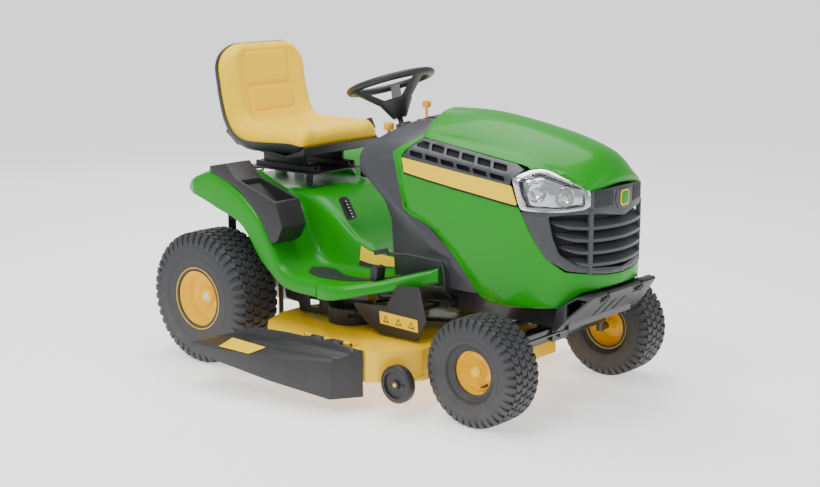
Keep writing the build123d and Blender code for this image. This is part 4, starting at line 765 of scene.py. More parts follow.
def rim(node, body, side):
    """Pressed rim with hub cap and valve stem."""
    low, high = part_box(node.replace("rim", "tyre"))
    centre = (low + high) / 2
    rear = "rear" in node
    flange, half, face, hub, bore = (116.5, 91.0, 38.0, 27.0, 13.0) if rear else (91.0, 50.0, 12.0, 20.0,
            9.8)
    front = rim_shape(flange, half, face, hub, bore)
    skin = 3.0
    back = [(bore, face - 60), (hub - 3, face - 60), (hub, face - 18), (flange - 40, face - 16),
            (flange - 32, -half + 30), (flange - 18, -half + 20), (flange - 17, -half + 2), (flange - 1,
                    -half - 3),
            (flange + 1, -half - 1), (flange - 13, -half + 4), (flange - 15, -half + 20), (flange - 29,
                    -half + 34),
            (flange - 29, half - 38), (flange - 20, half - 22), (flange - 17 + skin, half - 6),
            (flange - 3, half + 0.5)]
    profile = [(r, side * y) for r, y in front + back]
    disc = lathe(profile, 80, centre, YELLOW, node + "_pressed")
    extra = []
    cap_face = face + (15 if rear else 30)
    cap_r = 17 if rear else 19
    cap = [(0.1, side * cap_face), (cap_r * 0.7, side * (cap_face - 1)), (cap_r, side * (cap_face - 6)),
           (cap_r, side * (face + 8)), (0.1, side * (face + 8))]
    extra.append(lathe(cap, 40, centre, YELLOW if not rear else BRIGHT, "cap"))
    angle = math.radians(118 if rear else 150)
    stem_r = flange - 38
    foot = centre + Vector((stem_r * math.sin(angle), side * (face - 4), stem_r * math.cos(angle))) * MM
    stem = [(5.5, 0), (5.5, 4), (4.2, 5), (4.0, 24), (3.2, 25), (3.2, 32), (0.1, 32), (0.1, 0)]
    extra.append(lathe([(r, side * y) for r, y in stem], 16, foot, RUBBER, "stem"))
    whole = join(node + "_wheel", [disc] + extra)
    smooth_by_angle(whole.data, 28)
    ride(whole, body, "yellow_paint", node)


rim("rear_rim_right", "wheel_rr", -1)
rim("rear_rim_left", "wheel_rl", 1)
rim("front_rim_right", "wheel_fr", -1)
rim("front_rim_left", "wheel_fl", 1)


# =============================================================================================
# hood
# =============================================================================================
HOOD_PLAN = [(690, 236), (820, 243), (950, 251), (1080, 258), (1200, 262), (1300, 257), (1380, 240), (1440,
        212),
             (1478, 182), (1500, 158), (1515, 120), (1527, 65), (1533, 0)]
PLAN_LINE = spline(HOOD_PLAN, 10)
NOSE_LINE = PLAN_LINE[::-1]
PLAN_S = [0.0]
for near, far in zip(NOSE_LINE, NOSE_LINE[1:]):
    PLAN_S.append(PLAN_S[-1] + math.hypot(far[0] - near[0], far[1] - near[1]))


def plan_at(s):
    """Point and outward normal of the hood's plan line; s runs from the nose, plus to the left."""
    side = 1 if s >= 0 else -1
    d = min(abs(s), PLAN_S[-1] - 1e-3)
    i = bisect_right(PLAN_S, d) - 1
    a, b = NOSE_LINE[i], NOSE_LINE[i + 1]
    t = (d - PLAN_S[i]) / (PLAN_S[i + 1] - PLAN_S[i])
    x = a[0] + (b[0] - a[0]) * t
    y = a[1] + (b[1] - a[1]) * t
    wide = 8.0
    lo = min(max(d - wide, 0), PLAN_S[-1] - 1e-3)
    hi = min(d + wide, PLAN_S[-1] - 1e-3)

    def raw(q):
        k = min(bisect_right(PLAN_S, q) - 1, len(NOSE_LINE) - 2)
        u = (q - PLAN_S[k]) / (PLAN_S[k + 1] - PLAN_S[k])
        return (NOSE_LINE[k][0] + (NOSE_LINE[k + 1][0] - NOSE_LINE[k][0]) * u,
                NOSE_LINE[k][1] + (NOSE_LINE[k + 1][1] - NOSE_LINE[k][1]) * u)
    p, q = raw(lo), raw(hi)
    if d < wide:
        p = (q[0], -q[1])
    dx, dy = q[0] - p[0], q[1] - p[1]
    length = math.hypot(dx, dy)
    nx, ny = dy / length, -dx / length
    return x, side * y, nx, side * ny


def s_of_x(x, side=1):
    """Distance round the plan to the flank's point at x."""
    for i in range(len(NOSE_LINE) - 1):
        if NOSE_LINE[i][0] >= x >= NOSE_LINE[i + 1][0]:
            t = (NOSE_LINE[i][0] - x) / max(NOSE_LINE[i][0] - NOSE_LINE[i + 1][0], 1e-6)
            return side * (PLAN_S[i] + t * (PLAN_S[i + 1] - PLAN_S[i]))
    return side * PLAN_S[-1] if x < NOSE_LINE[-1][0] else 0.0


def s_of_y(y):
    """Distance round the plan to the front's point at y."""
    side = 1 if y >= 0 else -1
    for i in range(len(NOSE_LINE) - 1):
        if NOSE_LINE[i][1] <= abs(y) <= NOSE_LINE[i + 1][1]:
            t = (abs(y) - NOSE_LINE[i][1]) / max(NOSE_LINE[i + 1][1] - NOSE_LINE[i][1], 1e-6)
            return side * (PLAN_S[i] + t * (PLAN_S[i + 1] - PLAN_S[i]))
    return 0.0


SHOULDER = table([(690, 852), (820, 846), (1020, 829), (1273, 803), (1434, 770), (1500, 775), (1540, 790)])
CREASE_Y = table([(690, 172), (820, 173), (1020, 177), (1273, 176), (1434, 165), (1500, 150)])
CREASE_Z = table([(690, 902), (820, 899), (1020, 888), (1273, 864), (1434, 812), (1496, 779)])
ARCH = [(826, 990), (820, 905), (738, 845), (770, 693), (797, 639), (905, 603), (1016, 519), (1128, 403),
        (1208, 378)]


def hood_wall(s, z, sink=0.0, band=True):
    """Point on the hood's side, sink millimetres in."""
    x, y, nx, ny = plan_at(s)
    over = z - SHOULDER(x)
    soft = 14.0
    ramp = 0.0 if over < -soft else (over if over > soft else (over + soft) ** 2 / (4 * soft))
    inset = ramp / 0.77 + sink
    inset += 0.00006 * max(0.0, 640 - z) ** 2
    if band and x < 1260:
        near = edge_distance((x, z), ARCH)
        inset += 7.0 * max(0.0, 1 - near / 30.0)
    return spot(x - nx * inset, y - ny * inset, z)


def wall_panel(name, outline, material, wall=3.0, holes=(), spacing=14.0, sink=0.0, radius=6.0, band=True,
               rim_width=0.8):
    """Panel on the hood's side from an outline of (s, z)."""
    dense = stepped(rounded(outline, radius), spacing)
    flat, faces = flat_patch(dense, list(holes), spacing)
    obj = make(name, [hood_wall(p[0], p[1], sink, band) for p in flat], faces, material)
    direct = Vector((0, 0, 0))
    mesh = obj.data
    middle = (outline[0][0] + outline[len(outline) // 2][0]) / 2
    nx, ny = plan_at(middle)[2:]
    outward = Vector((nx, ny, 0.3))
    for poly in mesh.polygons:
        direct += poly.normal * poly.area
    if direct.dot(outward) < 0:
        mesh.flip_normals()
    return thicken(obj, wall, rim_width)


def both_flanks(name, outline, material, body, slot, holes=(), replaced=(), **options):
    """The same flank panel on each side, from an outline of (x, z)."""
    pieces = []
    for side in (1, -1):
        line = [(s_of_x(x, side), z) for x, z in outline]
        cut = [[(s_of_x(x, side), z) for x, z in hole] for hole in holes]
        if side > 0:
            line.reverse()
        pieces.append(wall_panel(name + "_side", line, material, holes=cut, **options))
    whole = join(name, pieces)
    smooth_by_angle(whole.data, 40)
    return ride(whole, body, slot, *replaced)


def hood_roof():
    """Green roof: dome, crease and shoulders down to the vent and lamp, with a lip at the nose."""
    top = table([(0.0, 983), (0.28, 981), (0.64, 941), (0.86, 902), (0.95, 868), (1.0, 812)])
    vent_top = table([(690, 900), (826, 896), (840, 894), (1255, 846), (1300, 832), (1350, 836), (1440,
            815), (1500, 786)])
    rear = 822.0
    rows = []
    steps = 44
    for i in range(steps + 1):
        v = i / steps
        row = []
        for j in range(-22, 23):
            frac = abs(j) / 16
            side = 1 if j > 0 else -1
            f = min(frac, 1.0)
            x_front = 1519 - 26 * f * f
            x = rear + (x_front - rear) * v
            cy, cz = CREASE_Y(x), CREASE_Z(x)
            if frac <= 1:
                crown = top(v)
                z = cz + (crown - cz) * (1 - f ** 2.1)
                row.append(spot(x, side * cy * f, z))
            else:
                t = (frac - 1) / (6 / 16)
                low = min(vent_top(x), cz - 1)
                z = cz + (low - cz) * t
                row.append(hood_wall(s_of_x(x, side), z, band=False))
        rows.append(row)
    for depth, back in ((6, -1.5), (16, -1), (26, 1)):
        row = []
        for j in range(-22, 23):
            p = rows[steps][j + 22].copy()
            nose = Vector((1, 0.12 * (1 if j > 0 else -1) * (abs(j) > 14), 0)).normalized()
            row.append(p + Vector((0, 0, -depth * MM * (1 if abs(j) <= 16 else 0.2))) - nose * back * MM)
        rows.append(row)
    points = [p for row in rows for p in row]
    wide = len(rows[0])
    faces = []
    for i in range(len(rows) - 1):
        for j in range(wide - 1):
            a = i * wide + j
            faces.append((a, a + 1, a + wide + 1, a + wide))
    obj = make("hood_roof", points, faces, GREEN, 30)
    if sum((p.normal.z * p.area for p in obj.data.polygons)) < 0:
        obj.data.flip_normals()
    return thicken(obj, 3.5, 1.2, 32)


STRIPE_TOP = [(779, 826), (900, 814), (1030, 802), (1150, 791), (1262, 779)]
STRIPE_LOW = [(1285, 716), (1150, 733), (1030, 746), (900, 761), (788, 776)]
FLANK = ([(735, 846), (772, 693), (799, 641), (850, 624), (905, 603), (962, 566), (1016, 519), (1075, 463),
          (1128, 405),
          (1160, 388), (1210, 379), (1330, 386), (1442, 395), (1448, 505), (1416, 528), (1385, 552), (1340,
                  618),
          (1300, 694), (1288, 713)] + STRIPE_LOW[1:-1][::-1] + [(787, 775), (778, 790), (778, 828), (792,
                  862),
         (826, 898), (832, 905), (818, 906)])
VENT = [(783, 829), (800, 858), (832, 893), (980, 877), (1120, 860), (1250, 845), (1290, 829), (1274, 815),
        (1260, 797), (1258, 782)] + STRIPE_TOP[1:4][::-1]
LAMP = [(1264, 800), (1282, 816), (1312, 830), (1350, 835), (1420, 821), (1492, 792), (1500, 786), (1508,
        718),
        (1490, 708), (1440, 702), (1300, 701), (1288, 722), (1268, 786)]


def vent_cells():
    """Outlines of the slanted cells in the flank's vent."""
    cells = []
    for row, (rise, tall, first, last) in enumerate(((0.60, 0.28, 812, 1236), (0.16, 0.26, 806, 1240))):
        count = 6
        for k in range(count):
            x0 = first + (last - first) * k / count
            x1 = first + (last - first) * (k + 0.82) / count
            lean = -16 if row == 0 else -10
            box_points = []
            for x, level in ((x0, rise), (x1, rise), (x1, rise + tall), (x0, rise + tall)):
                low = 826 - 0.104 * (x - 783)
                high = 893 - 0.117 * (x - 832)
                z = low + (high - low) * level
                box_points.append((x + (lean if level > rise else 0) + 12, z))
            cells.append(rounded(box_points, 5, 3))
    return cells


def arch_band():
    """Darker return band along the flank's rear and lower edge."""
    line = spline([(730, 842), (768, 692), (796, 636), (905, 598), (1012, 514), (1122, 401), (1160, 384),
                   (1208, 375),
                   (1330, 382), (1440, 391)], 8)
    pieces = []
    for side in (1, -1):
        sections = []
        for i, (x, z) in enumerate(line):
            a, b = line[max(i - 1, 0)], line[min(i + 1, len(line) - 1)]
            d = Vector((b[0] - a[0], b[1] - a[1])).normalized()
            out = Vector((d.y, -d.x))
            if out.dot(Vector((-0.5, -1))) < 0:
                out = -out
            row = []
            for away, sink in ((-7, 1.5), (0, 2.5), (5, 9), (6, 26)):
                px, pz = x + out.x * away, z + out.y * away
                row.append(hood_wall(s_of_x(max(px, 692), side), pz, sink))
            sections.append(row)
        pieces.append(thicken(loft("band", sections, GREEN, 50), 2.0, 0.0, 50))
    ride(join("arch_band", pieces), "hood", "green_paint")


def mesh_patch():
    """Small square mesh beside the badge on each side."""
    for side in (1, -1):
        first, last = s_of_y(side * 62), s_of_y(side * 138)
        cells = []
        for i in range(9):
            for j in range(5):
                cs = first + (last - first) * (i + 0.5) / 9
                cz = 724 + 9.5 * j + (4.7 if i % 2 else 0)
                w = abs(last - first) / 9 * 0.36
                cells.append([(cs - w, cz - 3.2), (cs + w, cz - 3.2), (cs + w, cz + 3.2), (cs - w,
                        cz + 3.2)])
        edge = [(first, 717), (last, 717), (last, 773), (first, 773)]
        patch = wall_panel("mesh_patch", edge, BLACK, 3.0, holes=cells, radius=4, band=False, sink=-1.2,
                           spacing=20, rim_width=0)
        ride(patch, "hood", "black_plastic")


def hood():
    """All the hood's painted panels, vents and stripe."""
    roof = hood_roof()
    fascia = wall_panel("nose_lip", [(s_of_x(1440, -1), 397), (s_of_x(1440, -1), 507), (s_of_y(-158), 500),
                                     (s_of_y(-80), 489), (0, 485), (s_of_y(80), 489), (s_of_y(158), 500),
                                     (s_of_x(1440, 1), 507), (s_of_x(1440, 1), 397), (s_of_y(170), 440),
                                     (s_of_y(100), 446), (0, 449), (s_of_y(-100), 446), (s_of_y(-170),
                                             440)],
                        GREEN, 3.0, radius=10)
    sides = both_flanks("flanks", FLANK, GREEN, "hood", "green_paint", radius=9)
    whole = join("hood_panels", [roof, fascia, sides])
    smooth_by_angle(whole.data, 32)
    ride(whole, "hood", "green_paint", "hood_shell")
    both_flanks("vent_panel", VENT, SATIN, "hood", "black_plastic", holes=vent_cells(),
                replaced=("side_vents",), wall=5)
    # A near-black sheet 16 mm behind the vent cells: painted shade in the vent's hollow.
    both_flanks("vent_back", VENT, PAINTED_SHADE, "hood", "black_plastic", sink=16, spacing=30)
    stripe = STRIPE_TOP + STRIPE_LOW
    both_flanks("stripe_band", stripe, DECAL, "hood", "black_plastic", radius=7, wall=4.2, sink=-0.8)
    arch_band()
    mesh_patch()
    edge = ([(x, z - 1) for x, z in STRIPE_LOW[::-1]] + [(x, z - 7) for x, z in STRIPE_LOW])
    both_flanks("stripe_shadow", edge, PAINTED_SHADE, "hood", "black_plastic", radius=1, wall=3, sink=-0.3,
                spacing=20)


hood()


def slat(z, reach, tall, depth, bow, name):
    """Louvre round the nose at height z; its middle sits bow lower than its ends."""
    steps = 40
    section = [(0, -0.1), (0, -0.42), (depth * 0.5, -0.5), (depth, -0.45), (depth, 0.35), (depth * 0.85,
            0.5)]
    points, faces = [], []
    for k in range(steps + 1):
        s = reach * (2 * k / steps - 1)
        centre = z - bow * (1 - (s / reach) ** 2)
        point = min(1.0, 0.12 + 3.2 * (1 - abs(s) / reach))
        for inward, up in section:
            points.append(hood_wall(s, centre + up * tall * point, depth - (depth - inward) * point - 1.0,
                                    False))
    n = len(section)
    for k in range(steps):
        for i in range(n):
            j = (i + 1) % n
            faces.append((k * n + i, k * n + j, (k + 1) * n + j, (k + 1) * n + i))
    faces.append(tuple(range(n)))
    faces.append(tuple(steps * n + i for i in reversed(range(n))))
    return make(name, points, faces, SATIN, 25)


def grille_panel():
    """Surround, slats, posts and badge at the nose."""
    pieces = []
    ends = {772: s_of_x(1500), 702: s_of_x(1300), 612: s_of_x(1344), 552: s_of_x(1387), 516: s_of_x(1448)}
    ring_out = [(-ends[702], 697), (-s_of_x(1440), 703), (-s_of_x(1490), 712), (-s_of_x(1504), 722),
                (-s_of_x(1504), 771), (s_of_y(-60), 777), (0, 778), (s_of_y(60), 777), (s_of_x(1504), 771),
                (s_of_x(1504), 722), (s_of_x(1490), 712), (s_of_x(1440), 703), (ends[702], 697),
                (ends[612], 614),
                (ends[552], 549), (s_of_x(1450), 511), (s_of_y(158), 503), (s_of_y(80), 492), (0, 488),
                (s_of_y(-80), 492), (s_of_y(-158), 503), (-s_of_x(1450), 511), (-ends[552], 549),
                (-ends[612], 614)]
    inner = [(-ends[702] + 96, 690), (0, 680), (ends[702] - 96, 690), (ends[612] - 66, 622),
             (ends[552] - 44, 566),
             (s_of_x(1450) - 26, 532), (s_of_y(150), 520), (0, 506), (s_of_y(-150), 520),
             (-s_of_x(1450) + 26, 532),
             (-ends[552] + 44, 566), (-ends[612] + 66, 622)]
    pieces.append(wall_panel("surround", ring_out, SATIN, 12.0, holes=[rounded(inner, 10)], radius=6,
                             band=False,
                             rim_width=2.0, sink=0.5))
    # A near-black sheet 30 mm behind the surround: painted shade in the grille's hollow.
    pieces.append(wall_panel("recess", ring_out, PAINTED_SHADE, 3.0, radius=6, band=False, sink=30.0, spacing=30))
    for z in (668, 627, 586, 545):
        share = (668 - z) / 160
        reach = (ends[702] - 78) * (1 - share) + (s_of_x(1440) - 18) * share
        pieces.append(slat(z, reach, 31, 30, 12, "slat"))
    for side in (1, -1):
        at = s_of_y(side * 150)
        post = wall_panel("post", [(at - 8, 500), (at + 8, 500), (at + 8, 710), (at - 8, 710)], SATIN, 16.0,
                          radius=3, band=False, sink=-1.5, rim_width=2.5)
        pieces.append(post)
    holder = [(s_of_y(-40), 770), (s_of_y(40), 770), (s_of_y(52), 738), (s_of_y(34), 704), (s_of_y(-34),
            704), (s_of_y(-52), 738)]
    pieces.append(wall_panel("badge_seat", holder, SATIN, 8.0, radius=10, band=False, sink=-2.5,
                             rim_width=2.5))
    arms = refine("grille", BLACK, "hood", "black_plastic")
    bm = bmesh.new()
    bm.from_mesh(arms.data)
    limit = 0.500
    gone = [v for v in bm.verts if v.co.z > limit]
    bmesh.ops.delete(bm, geom=gone, context="VERTS")
    bm.to_mesh(arms.data)
    bm.free()
    whole = join("grille_nose", pieces)
    smooth_by_angle(whole.data, 30)
    ride(whole, "hood", "black_plastic", "grille")
    badge = wall_panel("badge", [(s_of_y(-25), 764), (s_of_y(25), 764), (s_of_y(25), 712), (s_of_y(-25),
            712)],
                       DECAL, 3.0, radius=15, band=False, sink=-5.0)
    inset = wall_panel("badge_inset", [(s_of_y(-21), 760), (s_of_y(21), 760), (s_of_y(21), 716),
                                       (s_of_y(-21), 716)],
                       GREEN, 3.0, radius=12, band=False, sink=-5.8)
    emblem = join("plain_badge", [badge, inset])
    ride(emblem, "hood", "yellow_plastic")


grille_panel()


def headlamps():
    """Lens, bright bezel and faceted bowls on each side."""
    both_flanks("lamp_cover", LAMP, CLEAR, "hood", "clear_lens", replaced=("headlamp_lenses",), wall=2.0,
                radius=12, spacing=10)
    both_flanks("lamp_bezel", [(x, z) for x, z in LAMP], CHROME, "hood", "chrome", radius=12, sink=3.0,
                wall=3,
                holes=[rounded([(1284, 796), (1312, 816), (1352, 823), (1488, 783), (1494, 724), (1440,
                        714), (1312, 713)], 12)])
    pieces = []
    for side in (1, -1):
        line = [(s_of_x(x, side), z) for x, z in ((1276, 806), (1310, 823), (1352, 829), (1494, 789),
                                                  (1500, 718), (1440, 708), (1300, 706))]
        back = wall_panel("bowl_back", line, CHROME, 2.0, radius=12, sink=24.0, spacing=16, band=False)
        for index, vertex in enumerate(back.data.vertices):
            vertex.co.x -= (index * 7 % 5) * 1.0 * MM
        smooth_by_angle(back.data, 4)
        pieces.append(back)
        for x, z, r in ((1352, 768, 36), (1440, 752, 31)):
            s = s_of_x(x, side)
            nx, ny = plan_at(s)[2:]
            axis = Vector((nx, ny, 0.0))
            centre = hood_wall(s, z, 20.0, False)
            turn = Vector((0, 1, 0)).rotation_difference(axis).to_matrix().to_4x4()
            bowl = [(r, 14), (r * 0.86, 4), (r * 0.6, -4), (r * 0.25, -7), (0.1, -7.5), (0.1, -9),
                    (r * 0.7, -7), (r + 2, 12)]
            cup = lathe(bowl, 40, Vector((0, 0, 0)), CHROME, "bowl")
            shift(cup, Matrix.Translation(centre) @ turn)
            bulb = lathe([(0.1, 6), (5, 4), (6.5, -2), (6.5, -8), (0.1, -8)], 20, Vector((0, 0, 0)), TANK,
                         "bulb")
            shift(bulb, Matrix.Translation(centre) @ turn)
            pieces.extend([cup, bulb])
    whole = join("lamp_bowls", pieces)
    smooth_by_angle(whole.data, 40)
    ride(whole, "hood", "chrome", "headlamp_reflectors")


headlamps()


# =============================================================================================
# fenders, footrests and tunnel
# =============================================================================================
FENDER_TOP = table([(-166, 664), (-130, 680), (-97, 692), (-43, 714), (0, 724), (70, 705), (150, 665),
                    (210, 622),
                    (254, 580), (290, 524), (320, 472), (355, 420), (400, 394), (450, 386), (560, 384),
                    (644, 386),
                    (760, 404), (860, 431), (954, 460)])
FENDER_LOW = table([(-166, 640), (-97, 628), (-30, 610), (36, 587), (100, 568), (157, 544), (200, 505),
                    (234, 458),
                    (270, 415), (311, 380), (357, 346), (400, 332), (470, 326), (613, 329), (760, 362),
                    (954, 405)])
FENDER_OUT = table([(-166, 376), (-140, 400), (-97, 424), (-40, 430), (480, 430), (560, 446), (620, 460),
                    (690, 452),
                    (800, 380), (880, 318), (954, 257)])
TUNNEL_TOP = table([(-166, 650), (200, 650), (262, 649), (320, 632), (380, 602), (440, 566), (520, 508),
                    (570, 484), (606, 474), (700, 466), (770, 462)])


def fender_section(x, inner, side):
    """Right or left half of the body's section at x, from the middle outwards."""
    high, low, out = FENDER_TOP(x), FENDER_LOW(x), FENDER_OUT(x)
    points = []
    if inner == 0:
        top = TUNNEL_TOP(x)
        rise = high - top
        points += [(0, top), (70, top), (135, top), (165, top - 1 + 0.005 * rise), (184,
                top - 4 + 0.03 * rise),
                   (194, top - 4 + 0.12 * rise), (199, top + 0.35 * rise), (203, top + 0.62 * rise),
                   (211, top + 0.84 * rise), (226, top + 0.955 * rise), (250, top + rise)]
    else:
        points += [(inner, high - 26), (inner + 1, high - 8), (min(inner + 6, out - 8), high)]
    start = points[-1][0] + 4
    edge = out - 26
    if edge < start:
        edge = start + 0.4 * (out - start)
    for t in (0.25, 0.5, 0.75, 1.0):
        points.append((start + (edge - start) * t, high - 1.0 * t))
    tail = out - edge
    points += [(edge + tail * 0.45, high - 3.5), (edge + tail * 0.8, high - 10), (out - 1, high - 22),
               (out, high - 34),
               (out, low + 10), (out - 1, low + 2), (out - 4, low)]
    return [spot(x, side * y, z) for y, z in points]


TUNNEL_END = 770.0


def body_panel():
    """Fenders, tunnel and footrests in one moulding."""
    pieces = []
    for side in (1, -1):
        xs = [-165 + (TUNNEL_END + 165) * k / 88 for k in range(89)]
        rear = [fender_section(x, 0, side) for x in xs]
        cap = []
        for p in rear[0]:
            cap.append(Vector((p.x - 0.0005, p.y, max(spot(0, 0, 636).z, p.z - 0.03))))
        lower = [Vector((p.x, p.y, min(p.z, spot(0, 0, 632).z))) for p in cap]
        pieces.append(loft("fender", [lower, cap] + rear, GREEN))
        xs = [TUNNEL_END + (954 - TUNNEL_END) * k / 20 for k in range(21)]
        front = [fender_section(x, 238, side) for x in xs]
        close = [Vector((p.x + 0.001, p.y, min(p.z, spot(0, 0, 410).z))) for p in front[-1]]
        pieces.append(loft("footrest", front + [close], GREEN))
    whole = join("body_panel", pieces)
    merge = bmesh.new()
    merge.from_mesh(whole.data)
    bmesh.ops.remove_doubles(merge, verts=merge.verts, dist=2e-5)
    bmesh.ops.recalc_face_normals(merge, faces=merge.faces)
    merge.to_mesh(whole.data)
    merge.free()
    if sum(p.normal.z * p.area for p in whole.data.polygons) < 0:
        whole.data.flip_normals()
    thicken(whole, 3.5, 0.0, 40)
    return ride(whole, "chassis", "green_paint", "fender_deck")


body_panel()


def slab(name, outline, z_of, material, wall=2.0, spacing=25.0, radius=8.0, holes=()):
    """Panel from a plan outline, its height given by z_of(x, y)."""
    dense = stepped(rounded(outline, radius), spacing)
    flat, faces = flat_patch(dense, list(holes), spacing)
    obj = make(name, [spot(p[0], p[1], z_of(p[0], p[1])) for p in flat], faces, material)
    if sum(p.normal.z * p.area for p in obj.data.polygons) < 0:
        obj.data.flip_normals()
    return thicken(obj, wall, 0.5, inward=True)


def foot_mats():
    """Black rubber mats with raised ribs."""
    outline = [(404, -306), (430, -352), (500, -376), (580, -368), (640, -352), (700, -350), (800, -316),
               (888, -262),
               (880, -250), (740, -290), (640, -300), (560, -296), (470, -250), (420, -262)]
    pieces = []
    for side in (1, -1):
        shape = [(x, y * -side) for x, y in outline]
        mat = slab("mat", shape, lambda x, y: FENDER_TOP(x) + 2.6, BLACK, 2.4, 22)
        pieces.append(mat)
        rib = block_object("rib", [(-8 * MM, -1.5 * MM, 0), (8 * MM, -1.5 * MM, 0), (8 * MM, 1.5 * MM, 0),
                                   (-8 * MM, 1.5 * MM, 0),
                                   (-7 * MM, -1 * MM, 2 * MM), (7 * MM, -1 * MM, 2 * MM), (7 * MM, 1 * MM,
                                           2 * MM), (-7 * MM, 1 * MM, 2 * MM)],
                           [(0, 1, 5, 4), (1, 2, 6, 5), (2, 3, 7, 6), (3, 0, 4, 7), (4, 5, 6, 7), (3, 2, 1,
                                   0)])
        guide = bpy.data.meshes.new("rib_guide")
        places, turns = [], []
        for i in range(40):
            for j in range(24):
                x = 405 + 13 * i
                y = -378 + 11 * j + (5.5 if i % 2 else 0)
                ring = outline + [outline[0]]
                if inside((x, y), outline) and edge_distance((x, y), ring) > 9:
                    places.append(spot(x, y * -side, FENDER_TOP(x) + 2.4))
                    slope = math.atan2(FENDER_TOP(x + 5) - FENDER_TOP(x - 5), 10)
                    turns.append((0.0, -slope, 0.7 if (i + j) % 2 else -0.7))
        guide.from_pydata([tuple(p) for p in places], [], [])
        mark = guide.attributes.new("turn", "FLOAT_VECTOR", "POINT")
        mark.data.foreach_set("vector", [c for t in turns for c in t])
        pieces.append(grow("ribs", ON_GUIDE, guide=guide, Block=rib, Material=BLACK, Size=0.62))
        drop(rib)
    whole = join("foot_mats", pieces)
    ride(whole, "chassis", "black_plastic")


foot_mats()


# =============================================================================================
# seat
# =============================================================================================
SEAT_PATH = spline([(268, 815), (232, 829), (160, 828), (60, 823), (-20, 824), (-72, 846), (-108, 896),
                    (-130, 968),
                    (-145, 1050), (-156, 1115), (-162, 1168)], 24)


def seat_line(path):
    """For each row of the seat: share of its length, point, upward normal, thickness and half-width."""
    lengths = [0.0]
    for a, b in zip(path, path[1:]):
        lengths.append(lengths[-1] + math.dist(a, b))
    rows = []
    for i, (x, z) in enumerate(path):
        t = lengths[i] / lengths[-1]
        a, b = path[max(i - 1, 0)], path[min(i + 1, len(path) - 1)]
        tangent = Vector((b[0] - a[0], b[1] - a[1])).normalized()
        normal = Vector((-tangent.y, tangent.x))
        if normal.dot(Vector((0.6, 1.0))) < 0:
            normal = -normal
        near = min(t, 1 - t) / 0.05
        ends = math.sqrt(max(0.0, 1 - (1 - min(1.0, near)) ** 2))
        upper = max(0.0, (t - 0.84) / 0.16)
        front = max(0.0, (0.09 - t) / 0.09)
        width = 224 * math.sqrt(1 - 0.62 * upper ** 2.4) * math.sqrt(1 - 0.10 * front ** 2)
        rows.append((t, lengths[i], x, z, normal, ends, 37 - 8 * t, width))
    return rows


def pill(width, half, flat_steps, arc_steps, lower_only=False):
    """Section of the seat: flat top and bottom, round sides; points of (y, n)."""
    reach = half * 1.55
    out = []
    if not lower_only:
        out += [((width - reach) * (1 - 2 * k / flat_steps), half) for k in range(flat_steps + 1)]
    start, span = (90.0, 180.0) if not lower_only else (190.0, 80.0)
    for k in range(0 if lower_only else 1, arc_steps + 1):
        angle = math.radians(start + span * k / arc_steps)
        square = 0.4 if angle > math.pi else 1.0
        out.append((-(width - reach) - reach * abs(math.cos(angle)) ** square, half * math.sin(angle)))
    out += [(-(width - reach) * (1 - 2 * k / flat_steps), -half) for k in range(1, flat_steps + 1)]
    start = 270.0
    for k in range(1, arc_steps + (1 if lower_only else 0)):
        angle = math.radians(start + span * k / arc_steps)
        square = 0.4 if angle < 2 * math.pi else 1.0
        out.append((width - reach + reach * abs(math.cos(angle)) ** square, half * math.sin(angle)))
    return out


def seam_depth(y, along, edges):
    """How deep a sewn outline presses at (y, along); edges are half-width, first and last length."""
    half, first, last = edges
    middle, tall, corner = (first + last) / 2, (last - first) / 2, 20.0
    dx, dz = abs(y) - half + corner, abs(along - middle) - tall + corner
    away = math.hypot(max(dx, 0), max(dz, 0)) + min(max(dx, dz), 0) - corner
    return 4.0 * math.exp(-(away / 4.5) ** 2) - (2.5 if away < 0 else 0.0) * min(1.0, abs(away) / 18)


def seat_cover():
    """One-piece bucket seat: raised side bolsters and two sewn panels on the back."""
    rows, flat_steps, arc_steps = seat_line(SEAT_PATH), 72, 10
    total = rows[-1][1]
    panels = [(118, 0.60 * total, 0.755 * total), (118, 0.762 * total, 0.955 * total)]
    points = []
    for t, along, x, z, normal, ends, half, width in rows:
        for y, n in pill(width * (0.94 + 0.06 * ends), half * max(ends, 0.03), flat_steps, arc_steps):
            if n > 0:
                f = abs(y) / width
                top = n / half
                swell = 14 + 11 * math.exp(-((t - 0.42) / 0.20) ** 2)
                n += ends * swell * math.exp(-((f - 0.78) / 0.15) ** 2) * top
                n += 4.0 * max(0.0, 1 - (f / 0.6) ** 2) * top * ends
                for panel in panels:
                    n -= seam_depth(y, along, panel)
                n -= 1.6 * math.exp(-((t - 0.135) / 0.006) ** 2) * top
            points.append(spot(x + normal.x * n, y, z + normal.y * n))
    around = len(points) // len(rows)
    faces = []
    for i in range(len(rows) - 1):
        for k in range(around):
            j = (k + 1) % around
            faces.append((i * around + k, i * around + j, (i + 1) * around + j, (i + 1) * around + k))
    faces.append(tuple(range(around)))
    faces.append(tuple(reversed(range((len(rows) - 1) * around, len(rows) * around))))
    obj = make("seat_cover", points, faces, VINYL, 60)
    smooth_by_angle(obj.data, 60)
    return ride(obj, "seat", "yellow_vinyl", "seat_cushion")


def seat_shell():
    """Black moulded tray round the seat's underside and back."""
    rows = seat_line(SEAT_PATH)[::4]
    sections = []
    for _, _, x, z, normal, ends, half, width in rows:
        line = pill(width * (0.945 + 0.06 * ends) + 1.5, (half + 12) * max(ends, 0.2), 16, 8, True)
        sections.append([spot(x + normal.x * n, y, z + normal.y * n) for y, n in line])
    obj = loft("seat_shell", sections, BLACK, 50)
    thicken(obj, 3.0, 0.0, 50)
    return ride(obj, "seat", "black_plastic")


cover = seat_cover()
seat_shell()


# =============================================================================================
# other CAD pieces, refined
# =============================================================================================
DASH_BACK = table([(380, 140), (480, 140), (600, 118), (668, 72), (735, 45), (838, 38), (900, 10), (960,
        0)])


